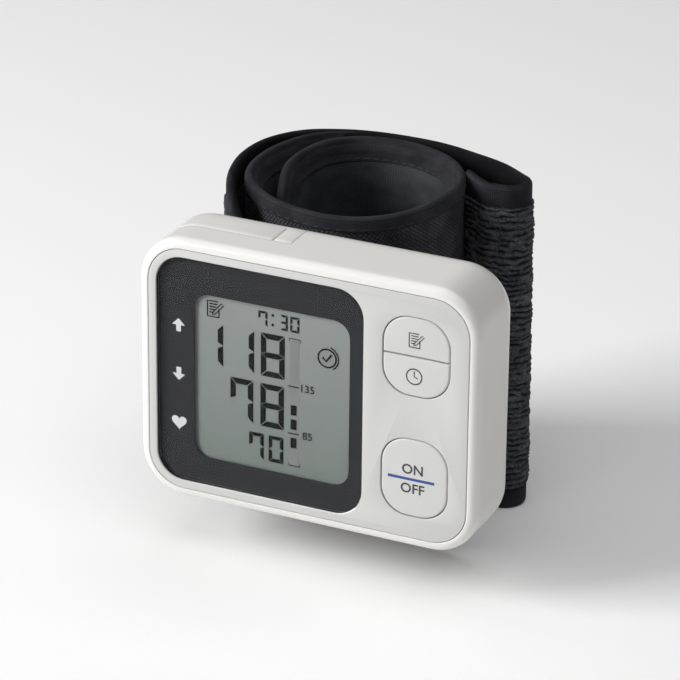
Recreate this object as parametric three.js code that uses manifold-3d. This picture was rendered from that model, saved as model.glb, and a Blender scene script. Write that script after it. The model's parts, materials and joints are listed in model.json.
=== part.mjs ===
// Wrist blood pressure monitor: a rounded plastic case with a display, three keys, a battery
// bay, an air pump and a release valve, carried on a spiral cloth cuff with a folded strap.
// Millimetres, +Z up. The case's own frame has its face at Y = 0 looking along -Y, its back
// towards +Y, its middle at X = 0 and its underside at Z = 0.

import * as THREE from 'three';
import { mergeVertices } from 'three/addons/utils/BufferGeometryUtils.js';
import Module from 'manifold-3d';

const wasm = await Module();
wasm.setup();

// Case
const CASE_W = 78;
const CASE_H = 60;
const CASE_D = 21;
const CASE_CORNER = 10.4; // corner radius seen from the front
const CASE_WALL = 1.6;
const FRONT_ROUND = 2; // radius of the front edge
const BACK_ROUND = 6.6; // radius of the back edge
const REAR_DEPTH = 3.5; // depth of the shallow rear case
const SEAM = 0.25; // gap between moulded pieces
const FIT = 0.05; // gap between flat faces that rest on each other
const FUSE = 0.3; // how far a boss or rib runs into the wall that carries it

// Face panel and display
const RIM = 2.2; // case rim that shows round the panel
const PANEL_T = 1.5;
const FRONT_WALL = 1.3; // case wall behind the panel
const BEZEL_MARGIN = 1.9; // panel that shows round the display lens
const LENS_T = 1.2;
const LENS_GAP = 0.15;
const WINDOW_W = 35.95;
const WINDOW_H = 37.9;
const WINDOW_LEFT = 8.45; // dark mask to the left of the window, with room for its labels
const WINDOW_RIGHT = 3.5; // dark mask to the right of the window
const WINDOW_CORNER = 3.8;
const WINDOW_DROP = 0.9; // window below the middle of the lens
const LCD_EDGE = 2; // glass hidden behind the mask on each side
const LCD_DROP = 0.4; // glass behind the mask
const LCD_T = 1.6;
const LCD_LEDGE = 3; // width of the holder's ledge under the glass
const HOLDER_WALL = 1.2;
const ZEBRA_W = 28; // conductive rubber strip between glass and board
const ZEBRA_H = 1.6;

// Keys and their switches
const KEY_W = 14.9;
const KEY_H = 17.6;
const KEY_CORNER = 6;
const KEY_ROUND = 0.35;
const KEY_FROM_END = 16.2; // key middle from the case's top or underside
const KEY_GAP = 0.2;
const KEY_SPLIT = 0.3; // line between the two upper keys
const KEY_FLANGE = 0.7; // flange that keeps a key behind the panel
const KEY_TRAVEL = 0.6;
const STEM_D = 3;
const STEM_L = 2.1;
const SWITCH_W = 4.5;
const SWITCH_T = 1.3;
const PLUNGER_D = 2.2;
const PLUNGER_OUT = 0.65; // plunger that stands out of its switch

// Board
const BOARD_T = 1;
const BOARD_GAP = 0.5; // board edge to case wall
const CHIP_W = 9;
const CHIP_T = 1.4;
const CHIP_X = 2;
const CHIP_Z = 22;
const BOARD_SCREW_D = 1.5;
const BOARD_HEAD_D = 3.2;
const BOARD_HEAD_T = 0.9;
const BOARD_SCREW_IN = 4; // left screws from the panel's side
const BOARD_SCREW_UP = 14; // left screws from the case's top or underside

// Case screws
const BOSS_D = 4.4;
const SCREW_D = 1.9;
const SCREW_HEAD_D = 3.8;
const SCREW_HEAD_T = 1;
const SCREW_L = 9;
const SCREW_GAP = 0.2;
const SCREW_SIDE = 5.4; // right screws from the case's side
const SCREW_END = 7.2; // right screws from the case's top or underside
const SCREW_INNER = 4.3; // left screws from the battery cover's edge
const SCREW_INNER_END = 5;
const SEAT_T = 0.8; // rear boss under a screw's head

// Battery bay
const COVER_EDGE = -7.5; // right edge of the battery cover
const COVER_SPLIT = 8.1; // front edge of the battery cover
const TAB_W = 4; // latch tab at the cover's right edge
const TAB_L = 7.5;
const TAB_GROOVE = 0.4;
const CELL_D = 10.5;
const CELL_L = 44.5;
const NUB_D = 3.8;
const NUB_L = 0.8;
const CELL_GAP = 0.35;
const TRAY_WALL = 0.9;
const TRAY_CORNER = 6;
const TRAY_DEPTH = 5.6; // height of the tray's sides over its floor
const CONTACT_T = 0.4;
const CONTACT_W = 7.4;
const CONTACT_DEPTH = 6.6; // from the tray's floor
const SPRING_L = 4.4;
const SPRING_WIRE = 0.5;
const SPRING_BASE = 3.6; // coil radius at the plate
const SPRING_TIP = 2.2; // coil radius at the cell
const SPRING_TURNS = 2.5;

// Pump, valve, sensor and air tubes
const MOTOR_R = 5.1;
const MOTOR_L = 18;
const PUMP_SIDE = 9.5; // pump axis from the case's side
const PUMP_Z = 13;
const HEAD_R = 5.7;
const HEAD_L = 11;
const HEAD_WALL = 1.1;
const HEAD_CAVITY = 4.5;
const OUTLET_UP = 8; // air outlet above the head's foot
const SHAFT_D = 1.5;
const SHAFT_IN = 5; // shaft inside the motor
const RUNNING_GAP = 0.1;
const CRANK_D = 6.2;
const CRANK_T = 1.6;
const CRANK_OFFSET = 0.7;
const CRANK_LIFT = 1.2;
const AIR_X = 10; // line of the manifold, the valve and the sensor
const MANIFOLD_W = 7;
const MANIFOLD_DEPTH = 6;
const SPIGOT_R = 1.1;
const SPIGOT_L = 2.5;
const TUBE_BORE = 1.3;
const TUBE_R = 1.9;
const SENSOR_W = 8;
const SENSOR_DEPTH = 8.2;
const SENSOR_H = 5.6;
const SENSOR_GAP = 6.5; // manifold to sensor
const VALVE_R = 4;
const VALVE_L = 14;
const VALVE_Z = 8;
const VALVE_PLUNGER_D = 3;
const VALVE_PLUNGER_L = 7;
const VALVE_STROKE = 0.5;
const VALVE_SHOWS = 1; // plunger below the valve's foot
const CRADLE_T = 1.2;
const CRADLE_W = 2; // cradle beyond the piece it holds
const CRADLE_SIDE = 5; // and its least distance from the case's side

// Cuff
const CUFF_H = 72.5;
const CUFF_OVER = 0.5; // cuff's top edge above the case
const BAND_T = 1.8; // outer band and strap
const BAND_GAP = 0.4; // band to case back
const SKIN_T = 0.7; // cloth of the padded ring
const CURLER_T = 1; // springy sheet that keeps the ring round
const BLADDER_T = 1.8;
const PAD_CROWN = 0.8; // how far the bladder swells at mid height
const CLOTH_GAP = 0.2; // between the ring's layers
const BLADDER_EDGE = 6; // bladder and curler stop short of the cuff's edges
const BLADDER_START = 30; // and of the ring's two ends
const BLADDER_END = 12;
const FIXED_END = 32; // band's sewn end, from the case's middle
const FIXED_TOP = 5; // band's end below the case's top
const FIXED_FOOT = 1.2; // band's end above the cuff's foot
const FIXED_ROUND = 14; // round lower corner of the band's end
const FIXED_SIDE = -20; // where the band's end is cut back at its foot
const FOLD_X = 20.4; // axis of the strap's fold at the top edge
const FOLD_Y = 38.4; // behind the case's back
const FOLD_R = 3.8;
const FOLD_START = 62; // degrees, where the band runs into the fold
const FOLD_GAP = 0.3;
const FOLD_LEAN_X = 4; // how far the fold's foot leans from its top
const FOLD_LEAN_Y = -8;
const LEAN_RUN = 26; // length of band over which the lean grows
const HOOK_T = 0.6;
const HOOK_EDGE = 14; // hook patch from the strap's edges

// Cuff fixing
const MOUNT_X = 18;
const MOUNT_W = 22;
const MOUNT_H = 42;
const MOUNT_T = 1.5;
const MOUNT_CORNER = 4;
const MOUNT_PITCH = 32; // between the two fixing screws
const MOUNT_SCREW_L = 8;
const MOUNT_BOSS_L = 3;
const NIPPLE_X = -2.5;
const NIPPLE_L = 9.4;
const NIPPLE_BORE = 0.6;

// Values that follow from the sizes above
const FACE_Z = CASE_H / 2;
const PANEL_W = CASE_W - 2 * RIM;
const PANEL_H = CASE_H - 2 * RIM;
const PANEL_CORNER = CASE_CORNER - RIM;
const WALL_FRONT = PANEL_T + FIT;
const WALL_BACK = WALL_FRONT + FRONT_WALL;
const BEZEL_W = WINDOW_LEFT + WINDOW_W + WINDOW_RIGHT;
const BEZEL_H = PANEL_H - 2 * BEZEL_MARGIN;
const BEZEL_LEFT = BEZEL_MARGIN - PANEL_W / 2;
const BEZEL_X = BEZEL_LEFT + BEZEL_W / 2;
const BEZEL_RIGHT = BEZEL_LEFT + BEZEL_W;
const BEZEL_CORNER = PANEL_CORNER - BEZEL_MARGIN;
const WINDOW_X = BEZEL_RIGHT - WINDOW_RIGHT - WINDOW_W / 2;
const WINDOW_Z = FACE_Z - WINDOW_DROP;
const LCD_W = WINDOW_W + 2 * LCD_EDGE;
const LCD_H = WINDOW_H + 2 * LCD_EDGE;
const LCD_BACK = PANEL_T + LCD_DROP + LCD_T;
const KEY_X = (BEZEL_RIGHT + PANEL_W / 2) / 2;
const UPPER_KEY_Z = CASE_H - KEY_FROM_END;
const START_KEY_Z = KEY_FROM_END;
const FLANGE_BACK = WALL_FRONT + KEY_FLANGE;
const STEM_BACK = FLANGE_BACK + STEM_L;
const SWITCH_FRONT = STEM_BACK + FIT + PLUNGER_OUT;
const BOARD_Y = SWITCH_FRONT + SWITCH_T + FIT;
const BOARD_BACK = BOARD_Y + BOARD_T;
const REAR_SPLIT = CASE_D - REAR_DEPTH;
const REAR_INNER = CASE_D - CASE_WALL;
const HEAD_SEAT = REAR_SPLIT + SEAM + SEAT_T;
const PUMP_X = CASE_W / 2 - PUMP_SIDE;
const PUMP_Y = (BOARD_BACK + REAR_INNER) / 2;
const HEAD_Z = PUMP_Z + MOTOR_L + SEAM;
const AIR_Z = HEAD_Z + OUTLET_UP;
const SENSOR_Z = AIR_Z + MANIFOLD_W / 2 + SENSOR_GAP;
const VALVE_TOP = VALVE_Z + VALVE_L;
const CUFF_TOP = CASE_H + CUFF_OVER;
const CUFF_FOOT = CUFF_TOP - CUFF_H;
const BAND_Y = BAND_GAP + BAND_T / 2;
const RING_T = 2 * SKIN_T + CURLER_T + BLADDER_T + 3 * CLOTH_GAP;

// Finishes
const finish = (color, roughness, metalness = 0) =>
  new THREE.MeshStandardMaterial({ color, roughness, metalness });
const whitePlastic = finish(0xecebe7, 0.28);
const greyPanel = finish(0xd6d6d3, 0.4);
const darkMask = finish(0x38393c, 0.45);
const clearLens = new THREE.MeshStandardMaterial({
  color: 0xf2f5f5,
  roughness: 0.05,
  transparent: true,
  opacity: 0.3,
});
const lcdGrey = finish(0x97a098, 0.3);
const innerPlastic = finish(0x4a4c50, 0.6);
const blackPlastic = finish(0x1b1c1f, 0.5);
const boardGreen = finish(0x1f6b3a, 0.5);
const steel = finish(0xb9bcc0, 0.3, 1);
const cellWrap = finish(0x2f4a7d, 0.35);
const rubber = finish(0x8d9196, 0.7);
const cuffCloth = finish(0x1f2026, 0.9);
const cuffLining = finish(0x24262c, 0.8);

// Solids: closed geometries for cutting and joining, and back again
function solid(geometry) {
  const bare = geometry.clone();
  bare.deleteAttribute('normal');
  bare.deleteAttribute('uv');
  const merged = mergeVertices(bare, 1e-4);
  return new wasm.Manifold(
    new wasm.Mesh({
      numProp: 3,
      vertProperties: merged.attributes.position.array,
      triVerts: new Uint32Array(merged.index.array),
    }),
  );
}

function surface(body) {
  const mesh = body.getMesh();
  const geometry = new THREE.BufferGeometry();
  geometry.setAttribute('position', new THREE.BufferAttribute(mesh.vertProperties, 3));
  geometry.setIndex(new THREE.BufferAttribute(mesh.triVerts, 1));
  geometry.computeVertexNormals();
  return geometry;
}

const join = (first, ...others) => others.reduce((sum, part) => sum.add(part), first);
const cut = (first, ...others) => others.reduce((rest, part) => rest.subtract(part), first);

// Outlines seen from the front, about their own middle
function roundedShape(width, height, radius) {
  const x = width / 2;
  const z = height / 2;
  const r = Math.min(radius, x, z);
  const shape = new THREE.Shape();
  shape.moveTo(r - x, -z);
  shape.lineTo(x - r, -z);
  shape.absarc(x - r, r - z, r, -Math.PI / 2, 0);
  shape.absarc(x - r, z - r, r, 0, Math.PI / 2);
  shape.absarc(r - x, z - r, r, Math.PI / 2, Math.PI);
  shape.absarc(r - x, r - z, r, Math.PI, 1.5 * Math.PI);
  return shape;
}

function circlePoints(radius, sides) {
  return Array.from({ length: sides }, (_, i) => {
    const angle = (2 * Math.PI * i) / sides;
    return new THREE.Vector2(radius * Math.cos(angle), radius * Math.sin(angle));
  });
}

// A plate with the given outline, from front to back along Y
function plate(shape, front, back, x, z, edge = 0) {
  const geometry = new THREE.ExtrudeGeometry(shape, {
    depth: back - front - 2 * edge,
    curveSegments: 4,
    bevelEnabled: edge > 0,
    bevelThickness: edge,
    bevelSize: edge,
    bevelOffset: -edge,
    bevelSegments: 1,
  });
  geometry.rotateX(Math.PI / 2);
  geometry.translate(x, back - edge, z);
  return solid(geometry);
}

function block(x0, x1, y0, y1, z0, z1) {
  const geometry = new THREE.BoxGeometry(x1 - x0, y1 - y0, z1 - z0);
  geometry.translate((x0 + x1) / 2, (y0 + y1) / 2, (z0 + z1) / 2);
  return solid(geometry);
}

// Round rods along each axis
function rodY(radius, front, back, x, z, sides = 16) {
  const geometry = new THREE.CylinderGeometry(radius, radius, back - front, sides);
  geometry.translate(x, (front + back) / 2, z);
  return solid(geometry);
}

function rodZ(radius, foot, top, x, y, sides = 24) {
  const geometry = new THREE.CylinderGeometry(radius, radius, top - foot, sides);
  geometry.rotateX(Math.PI / 2);
  geometry.translate(x, y, (foot + top) / 2);
  return solid(geometry);
}

function rodX(radius, left, right, y, z, sides = 16) {
  const geometry = new THREE.CylinderGeometry(radius, radius, right - left, sides);
  geometry.rotateZ(Math.PI / 2);
  geometry.translate((left + right) / 2, y, z);
  return solid(geometry);
}

// A closed skin over rings of equal count, with its faces turned outwards
function closedLoft(rings, section) {
  const count = section.length;
  const index = [];
  for (let ring = 0; ring + 1 < rings.length; ring += 1) {
    for (let i = 0; i < count; i += 1) {
      const a = ring * count + i;
      const b = ring * count + ((i + 1) % count);
      index.push(a, b, b + count, a, b + count, a + count);
    }
  }
  const last = (rings.length - 1) * count;
  for (const [a, b, c] of THREE.ShapeUtils.triangulateShape(section, [])) {
    index.push(a, c, b, last + a, last + b, last + c);
  }
  const points = rings.flat(2);
  const corner = (i) => new THREE.Vector3().fromArray(points, 3 * i);
  let volume = 0;
  for (let i = 0; i < index.length; i += 3) {
    volume += corner(index[i]).dot(corner(index[i + 1]).cross(corner(index[i + 2])));
  }
  if (volume < 0) {
    index.reverse();
  }
  const geometry = new THREE.BufferGeometry();
  geometry.setAttribute('position', new THREE.Float32BufferAttribute(points, 3));
  geometry.setIndex(index);
  return solid(geometry);
}

// The case's rounded box: its front outline drawn in by an inset that changes with depth
function caseOutline(inset) {
  const shape = roundedShape(CASE_W - 2 * inset, CASE_H - 2 * inset, CASE_CORNER - inset);
  return shape.extractPoints(4).shape.slice(0, -1);
}

function caseLoft(levels) {
  const outlines = levels.map(([, inset]) => caseOutline(inset));
  const rings = outlines.map((outline, k) => outline.map((p) => [p.x, levels[k][0], p.y + FACE_Z]));
  return closedLoft(rings, outlines[0]);
}

const quarter = (steps) => Array.from({ length: steps + 1 }, (_, k) => (Math.PI / 2) * (k / steps));

function caseOuter() {
  const front = quarter(4).map((t) => [
    FRONT_ROUND * (1 - Math.cos(t)),
    FRONT_ROUND * (1 - Math.sin(t)),
  ]);
  const back = quarter(6).map((t) => [
    CASE_D - BACK_ROUND * (1 - Math.sin(t)),
    BACK_ROUND * (1 - Math.cos(t)),
  ]);
  return caseLoft([...front, ...back]);
}

function caseCavity() {
  const radius = BACK_ROUND - CASE_WALL;
  const back = quarter(6).map((t) => [
    CASE_D - BACK_ROUND + radius * Math.sin(t),
    BACK_ROUND - radius * Math.cos(t),
  ]);
  return caseLoft([[WALL_BACK, CASE_WALL], ...back]);
}

const FAR = 2 * (CASE_W + CASE_H + CASE_D); // past the whole part

// Places of the screws, seen from the front
const caseScrews = [
  [CASE_W / 2 - SCREW_SIDE, SCREW_END],
  [CASE_W / 2 - SCREW_SIDE, CASE_H - SCREW_END],
  [COVER_EDGE + SCREW_INNER, SCREW_INNER_END],
  [COVER_EDGE + SCREW_INNER, CASE_H - SCREW_INNER_END],
];
const boardScrews = [
  [BOARD_SCREW_IN - PANEL_W / 2, BOARD_SCREW_UP],
  [BOARD_SCREW_IN - PANEL_W / 2, CASE_H - BOARD_SCREW_UP],
  [KEY_X, FACE_Z],
];
const mountScrews = [
  [MOUNT_X, FACE_Z - MOUNT_PITCH / 2],
  [MOUNT_X, FACE_Z + MOUNT_PITCH / 2],
];

const keyShape = (grow) => roundedShape(KEY_W + 2 * grow, KEY_H + 2 * grow, KEY_CORNER + grow);
const lcdShape = (grow) => roundedShape(LCD_W + 2 * grow, LCD_H + 2 * grow, 1);

// Moulded shells: one rounded box parted into front case, rear case and battery cover
const BOSS_TOP = REAR_SPLIT; // where front and rear bosses meet

function frontCase() {
  const recess = plate(roundedShape(PANEL_W, PANEL_H, PANEL_CORNER), -1, WALL_FRONT, 0, FACE_Z);
  const openings = [
    plate(lcdShape(SEAM), 0, WALL_BACK + 1, WINDOW_X, FACE_Z),
    plate(keyShape(KEY_FLANGE + SEAM), 0, WALL_BACK + 1, KEY_X, UPPER_KEY_Z),
    plate(keyShape(KEY_FLANGE + SEAM), 0, WALL_BACK + 1, KEY_X, START_KEY_Z),
  ];
  const rearPart = block(-FAR, FAR, REAR_SPLIT, FAR, -FAR, FAR);
  const coverPart = block(-FAR, COVER_EDGE + SEAM, COVER_SPLIT, FAR, -FAR, FAR);
  const shell = cut(caseOuter(), caseCavity(), recess, ...openings, rearPart, coverPart);
  const foot = WALL_BACK - FUSE;
  const bosses = caseScrews.map(([x, z]) => rodY(BOSS_D / 2, foot, BOSS_TOP, x, z));
  const boardBosses = boardScrews.map(([x, z]) => rodY(BOSS_D / 2, foot, BOARD_Y - FIT, x, z));
  const pilots = caseScrews.map(([x, z]) => {
    const end = HEAD_SEAT - SCREW_L - SCREW_GAP;
    return rodY(SCREW_D / 2 + FIT, end, BOSS_TOP + 1, x, z);
  });
  const boardPilots = boardScrews.map(([x, z]) =>
    rodY(BOARD_SCREW_D / 2 + FIT, WALL_BACK + FIT, BOARD_Y + 1, x, z),
  );
  return cut(join(shell, ...bosses, ...boardBosses), ...pilots, ...boardPilots);
}

// A rib that rises from the rear wall and carries a round piece in a half-round seat
function cradle(x, radius, z) {
  const half = radius + CRADLE_W;
  const seat = rodZ(radius + FIT, z - CRADLE_T, z + 2 * CRADLE_T, x, PUMP_Y);
  const right = Math.min(x + half, CASE_W / 2 - CRADLE_SIDE);
  const rib = block(x - half, right, PUMP_Y + 1, REAR_INNER + FUSE, z, z + CRADLE_T);
  return cut(rib, seat);
}

function rearCase() {
  const frontPart = block(-FAR, FAR, -FAR, REAR_SPLIT + SEAM, -FAR, FAR);
  const coverPart = block(-FAR, COVER_EDGE + SEAM, -FAR, FAR, -FAR, FAR);
  const shell = cut(caseOuter(), caseCavity(), frontPart, coverPart);
  const bosses = caseScrews.map(([x, z]) =>
    rodY(BOSS_D / 2 + SCREW_GAP, BOSS_TOP + SEAM, REAR_INNER + FUSE, x, z),
  );
  const mountBosses = mountScrews.map(([x, z]) =>
    rodY(BOSS_D / 2, REAR_INNER - MOUNT_BOSS_L, REAR_INNER + FUSE, x, z),
  );
  const cradles = [
    cradle(PUMP_X, MOTOR_R, PUMP_Z + MOTOR_L / 5),
    cradle(PUMP_X, MOTOR_R, PUMP_Z + (4 * MOTOR_L) / 5),
    cradle(AIR_X, VALVE_R, VALVE_Z + VALVE_L / 2),
  ];
  const holes = caseScrews.flatMap(([x, z]) => [
    rodY(SCREW_D / 2 + SCREW_GAP, 0, FAR, x, z),
    rodY(SCREW_HEAD_D / 2 + SCREW_GAP, HEAD_SEAT, FAR, x, z),
  ]);
  const mountHoles = mountScrews.map(([x, z]) =>
    rodY(SCREW_D / 2 + FIT, REAR_INNER - MOUNT_BOSS_L + FUSE, FAR, x, z),
  );
  const nippleHole = rodY(SPIGOT_R + FIT, 0, FAR, NIPPLE_X, AIR_Z);
  return cut(join(shell, ...bosses, ...mountBosses, ...cradles), ...holes, ...mountHoles, nippleHole);
}

function batteryCover() {
  const frontPart = block(-FAR, FAR, -FAR, COVER_SPLIT + SEAM, -FAR, FAR);
  const rightPart = block(COVER_EDGE, FAR, -FAR, FAR, -FAR, FAR);
  const grooveX = COVER_EDGE - TAB_W;
  const groove = block(
    grooveX - TAB_GROOVE,
    grooveX,
    0,
    COVER_SPLIT + TAB_L,
    CASE_H - CASE_WALL / 2,
    FAR,
  );
  return cut(caseOuter(), caseCavity(), frontPart, rightPart, groove);
}

// Face: panel, printed mask behind a clear lens, and the keys
function facePanel() {
  const gap = SEAM;
  const outline = roundedShape(PANEL_W - 2 * gap, PANEL_H - 2 * gap, PANEL_CORNER - gap);
  const openings = [
    plate(roundedShape(BEZEL_W, BEZEL_H, BEZEL_CORNER), -1, PANEL_T + 1, BEZEL_X, FACE_Z),
    plate(keyShape(KEY_GAP), -1, PANEL_T + 1, KEY_X, UPPER_KEY_Z),
    plate(keyShape(KEY_GAP), -1, PANEL_T + 1, KEY_X, START_KEY_Z),
  ];
  return cut(plate(outline, 0, PANEL_T, 0, FACE_Z), ...openings);
}

const lensShape = () =>
  roundedShape(BEZEL_W - 2 * LENS_GAP, BEZEL_H - 2 * LENS_GAP, BEZEL_CORNER - LENS_GAP);

function displayMask() {
  const window = plate(roundedShape(WINDOW_W, WINDOW_H, WINDOW_CORNER), 0, FAR, WINDOW_X, WINDOW_Z);
  return cut(plate(lensShape(), LENS_T + FIT, PANEL_T, BEZEL_X, FACE_Z), window);
}

// A key: a cap flush with the panel, a flange behind it and a stem down to the switch.
// Low and high part the cap from a neighbour that shares its outline.
function key(middle, low, high, stemZ) {
  const cap = plate(keyShape(0), 0, FLANGE_BACK, KEY_X, middle, KEY_ROUND);
  const flange = plate(keyShape(KEY_FLANGE), WALL_FRONT, FLANGE_BACK, KEY_X, middle);
  const whole = join(cap, flange);
  const kept = block(-FAR, FAR, -FAR, FAR, low, high);
  const stem = rodY(STEM_D / 2, FLANGE_BACK - FUSE, STEM_BACK, KEY_X, stemZ);
  return join(whole.intersect(kept), stem);
}

// A switch: a square body with a bore, and the plunger that the stem presses
function switchBody(z) {
  const half = SWITCH_W / 2;
  const body = block(KEY_X - half, KEY_X + half, SWITCH_FRONT, BOARD_Y - FIT, z - half, z + half);
  return cut(body, rodY(PLUNGER_D / 2 + RUNNING_GAP, 0, FAR, KEY_X, z));
}

function switchPlunger(z) {
  const back = BOARD_Y - FIT - KEY_TRAVEL - RUNNING_GAP;
  return rodY(PLUNGER_D / 2, STEM_BACK + FIT, back, KEY_X, z);
}

const keyQuarter = (KEY_H + KEY_SPLIT) / 4; // middle of each upper key from their shared middle
const switches = {
  memory: UPPER_KEY_Z + keyQuarter,
  clock: UPPER_KEY_Z - keyQuarter,
  start: START_KEY_Z,
};

// Display glass in its holder, and the board behind
function lcdHolder() {
  const wall = plate(lcdShape(HOLDER_WALL), WALL_BACK + SEAM, BOARD_Y - FIT, WINDOW_X, FACE_Z);
  const seat = plate(lcdShape(SEAM), 0, LCD_BACK + FIT, WINDOW_X, FACE_Z);
  const opening = plate(lcdShape(-LCD_LEDGE), 0, FAR, WINDOW_X, FACE_Z);
  return cut(wall, seat, opening, zebraStrip(SEAM));
}

// The conductive strip lies in a slot of the ledge, grown by a gap to cut that slot
function zebraStrip(grow) {
  const half = ZEBRA_W / 2 + grow;
  const middle = FACE_Z - LCD_H / 2 + LCD_LEDGE / 2;
  const rise = ZEBRA_H / 2 + Math.min(grow, (LCD_LEDGE - ZEBRA_H) / 4);
  return block(
    WINDOW_X - half,
    WINDOW_X + half,
    LCD_BACK + FIT - grow,
    BOARD_Y - FIT + grow,
    middle - rise,
    middle + rise,
  );
}

function mainBoard() {
  const edge = CASE_WALL + BOARD_GAP;
  const outline = roundedShape(CASE_W - 2 * edge, CASE_H - 2 * edge, CASE_CORNER - edge);
  const bossHoles = caseScrews.map(([x, z]) => rodY(BOSS_D / 2 + SEAM, 0, FAR, x, z));
  const screwHoles = boardScrews.map(([x, z]) => rodY(BOARD_SCREW_D / 2 + FIT, 0, FAR, x, z));
  return cut(plate(outline, BOARD_Y, BOARD_BACK, 0, FACE_Z), ...bossHoles, ...screwHoles);
}

// A screw with its head towards +Y: the head's seat, the shank's length and both diameters
function screw(x, z, seat, length, shank, head, thickness) {
  const top = rodY(head / 2, seat, seat + thickness, x, z);
  const driver = [0, Math.PI / 2].map((turn) => {
    const slot = new THREE.BoxGeometry(head * 0.6, thickness, head * 0.16);
    slot.rotateY(turn);
    slot.translate(x, seat + thickness, z);
    return solid(slot);
  });
  return join(cut(top, ...driver), rodY(shank / 2, seat - length, seat + FUSE, x, z, 12));
}

// Battery bay
const TRAY_FLOOR = BOARD_BACK + FIT;
const CELL_Y = TRAY_FLOOR + TRAY_WALL + FIT + CELL_D / 2;
const CELL_PITCH = CELL_D + 2 * CELL_GAP;
const BAY_W = 2 * CELL_PITCH;
const BAY_H = CELL_L + SPRING_L + 2 * (CONTACT_T + 2 * FIT);
const TRAY_W = BAY_W + 2 * TRAY_WALL;
const TRAY_H = BAY_H + 2 * TRAY_WALL;
const TRAY_X = TRAY_W / 2 + CASE_WALL + BOARD_GAP - CASE_W / 2;
const BAY_FOOT = FACE_Z - BAY_H / 2;
const BAY_TOP = FACE_Z + BAY_H / 2;
const cellX = [TRAY_X - CELL_PITCH / 2, TRAY_X + CELL_PITCH / 2];

function batteryTray() {
  const back = TRAY_FLOOR + TRAY_WALL + TRAY_DEPTH;
  const outer = plate(roundedShape(TRAY_W, TRAY_H, TRAY_CORNER), TRAY_FLOOR, back, TRAY_X, FACE_Z);
  const floor = TRAY_FLOOR + TRAY_WALL;
  const bay = plate(roundedShape(BAY_W, BAY_H, 1), floor, FAR, TRAY_X, FACE_Z);
  const crowded = boardScrews.map(([x, z]) => rodY(BOARD_HEAD_D / 2 + SEAM, 0, floor + 1, x, z));
  const rib = block(
    TRAY_X - CELL_GAP / 2,
    TRAY_X + CELL_GAP / 2,
    floor - FUSE,
    CELL_Y,
    BAY_FOOT + CONTACT_W / 2,
    BAY_TOP - CONTACT_W / 2,
  );
  return join(cut(outer, bay, ...crowded), rib);
}

// A dry cell: a can with a nub on its plus end, turned over when up is false
function dryCell(x, up) {
  const profile = [
    [0, 0],
    [CELL_D / 2 - 0.5, 0],
    [CELL_D / 2, 0.5],
    [CELL_D / 2, CELL_L - NUB_L - 0.5],
    [CELL_D / 2 - 0.5, CELL_L - NUB_L],
    [NUB_D / 2, CELL_L - NUB_L],
    [NUB_D / 2, CELL_L],
    [0, CELL_L],
  ].map(([r, h]) => new THREE.Vector2(r, h));
  const geometry = new THREE.LatheGeometry(profile, 28);
  geometry.rotateX(up ? Math.PI / 2 : -Math.PI / 2);
  const plate0 = CONTACT_T + 2 * FIT;
  geometry.translate(x, CELL_Y, up ? BAY_TOP - plate0 - CELL_L : BAY_FOOT + plate0 + CELL_L);
  return solid(geometry);
}

// A contact plate across one end of the bay, over one cell or both
function contactPlate(x0, x1, foot) {
  const half = CONTACT_W / 2;
  const front = TRAY_FLOOR + TRAY_WALL + SEAM;
  return block(x0 - half, x1 + half, front, front + CONTACT_DEPTH, foot, foot + CONTACT_T);
}

// A conical contact spring: straight square ends, and turns that draw in towards the cell
class ConicalSpring extends THREE.Curve {
  constructor(x, y, foot, up) {
    super();
    this.base = new THREE.Vector3(x, y, foot);
    this.sense = up ? 1 : -1;
  }

  getPoint(t, target = new THREE.Vector3()) {
    const straight = SPRING_WIRE / SPRING_L;
    const wound = THREE.MathUtils.clamp((t - straight) / (1 - 2 * straight), 0, 1);
    const angle = 2 * Math.PI * SPRING_TURNS * wound;
    const radius = THREE.MathUtils.lerp(SPRING_BASE, SPRING_TIP, wound);
    const height = this.sense * SPRING_L * t;
    return target.set(radius * Math.cos(angle), radius * Math.sin(angle), height).add(this.base);
  }
}

function contactSpring(x, foot, up) {
  const path = new ConicalSpring(x, CELL_Y, foot, up);
  const wire = new THREE.Shape(circlePoints(SPRING_WIRE / 2, 5));
  const steps = Math.round(8 * SPRING_TURNS) + 4;
  printLeastGap(path.getPoints(12 * steps));
  return solid(new THREE.ExtrudeGeometry(wire, { steps, extrudePath: path, bevelEnabled: false }));
}

// The least gap of a spring's wire to its own other turns
function printLeastGap(points) {
  const apart = Math.ceil(points.length / (2 * SPRING_TURNS));
  let least = Infinity;
  for (let i = 0; i + apart < points.length; i += 1) {
    for (let k = i + apart; k < points.length; k += 1) {
      least = Math.min(least, points[i].distanceTo(points[k]));
    }
  }
  console.log(`contact spring: least gap to itself ${(least - SPRING_WIRE).toFixed(2)} mm`);
}

// Air pump
function pumpMotor() {
  const top = PUMP_Z + MOTOR_L;
  const can = rodZ(MOTOR_R, PUMP_Z + 1, top, PUMP_X, PUMP_Y, 28);
  const tail = rodZ(MOTOR_R / 2, PUMP_Z, PUMP_Z + 1 + FUSE, PUMP_X, PUMP_Y);
  const bore = rodZ(SHAFT_D / 2 + RUNNING_GAP, top - SHAFT_IN - FIT, top + 1, PUMP_X, PUMP_Y, 12);
  return cut(join(can, tail), bore);
}

function pumpCrank() {
  const top = PUMP_Z + MOTOR_L;
  const disc = top + CRANK_LIFT;
  const shaft = rodZ(SHAFT_D / 2, top - SHAFT_IN, disc + FUSE, PUMP_X, PUMP_Y, 12);
  return join(shaft, rodZ(CRANK_D / 2, disc, disc + CRANK_T, PUMP_X + CRANK_OFFSET, PUMP_Y));
}

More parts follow.
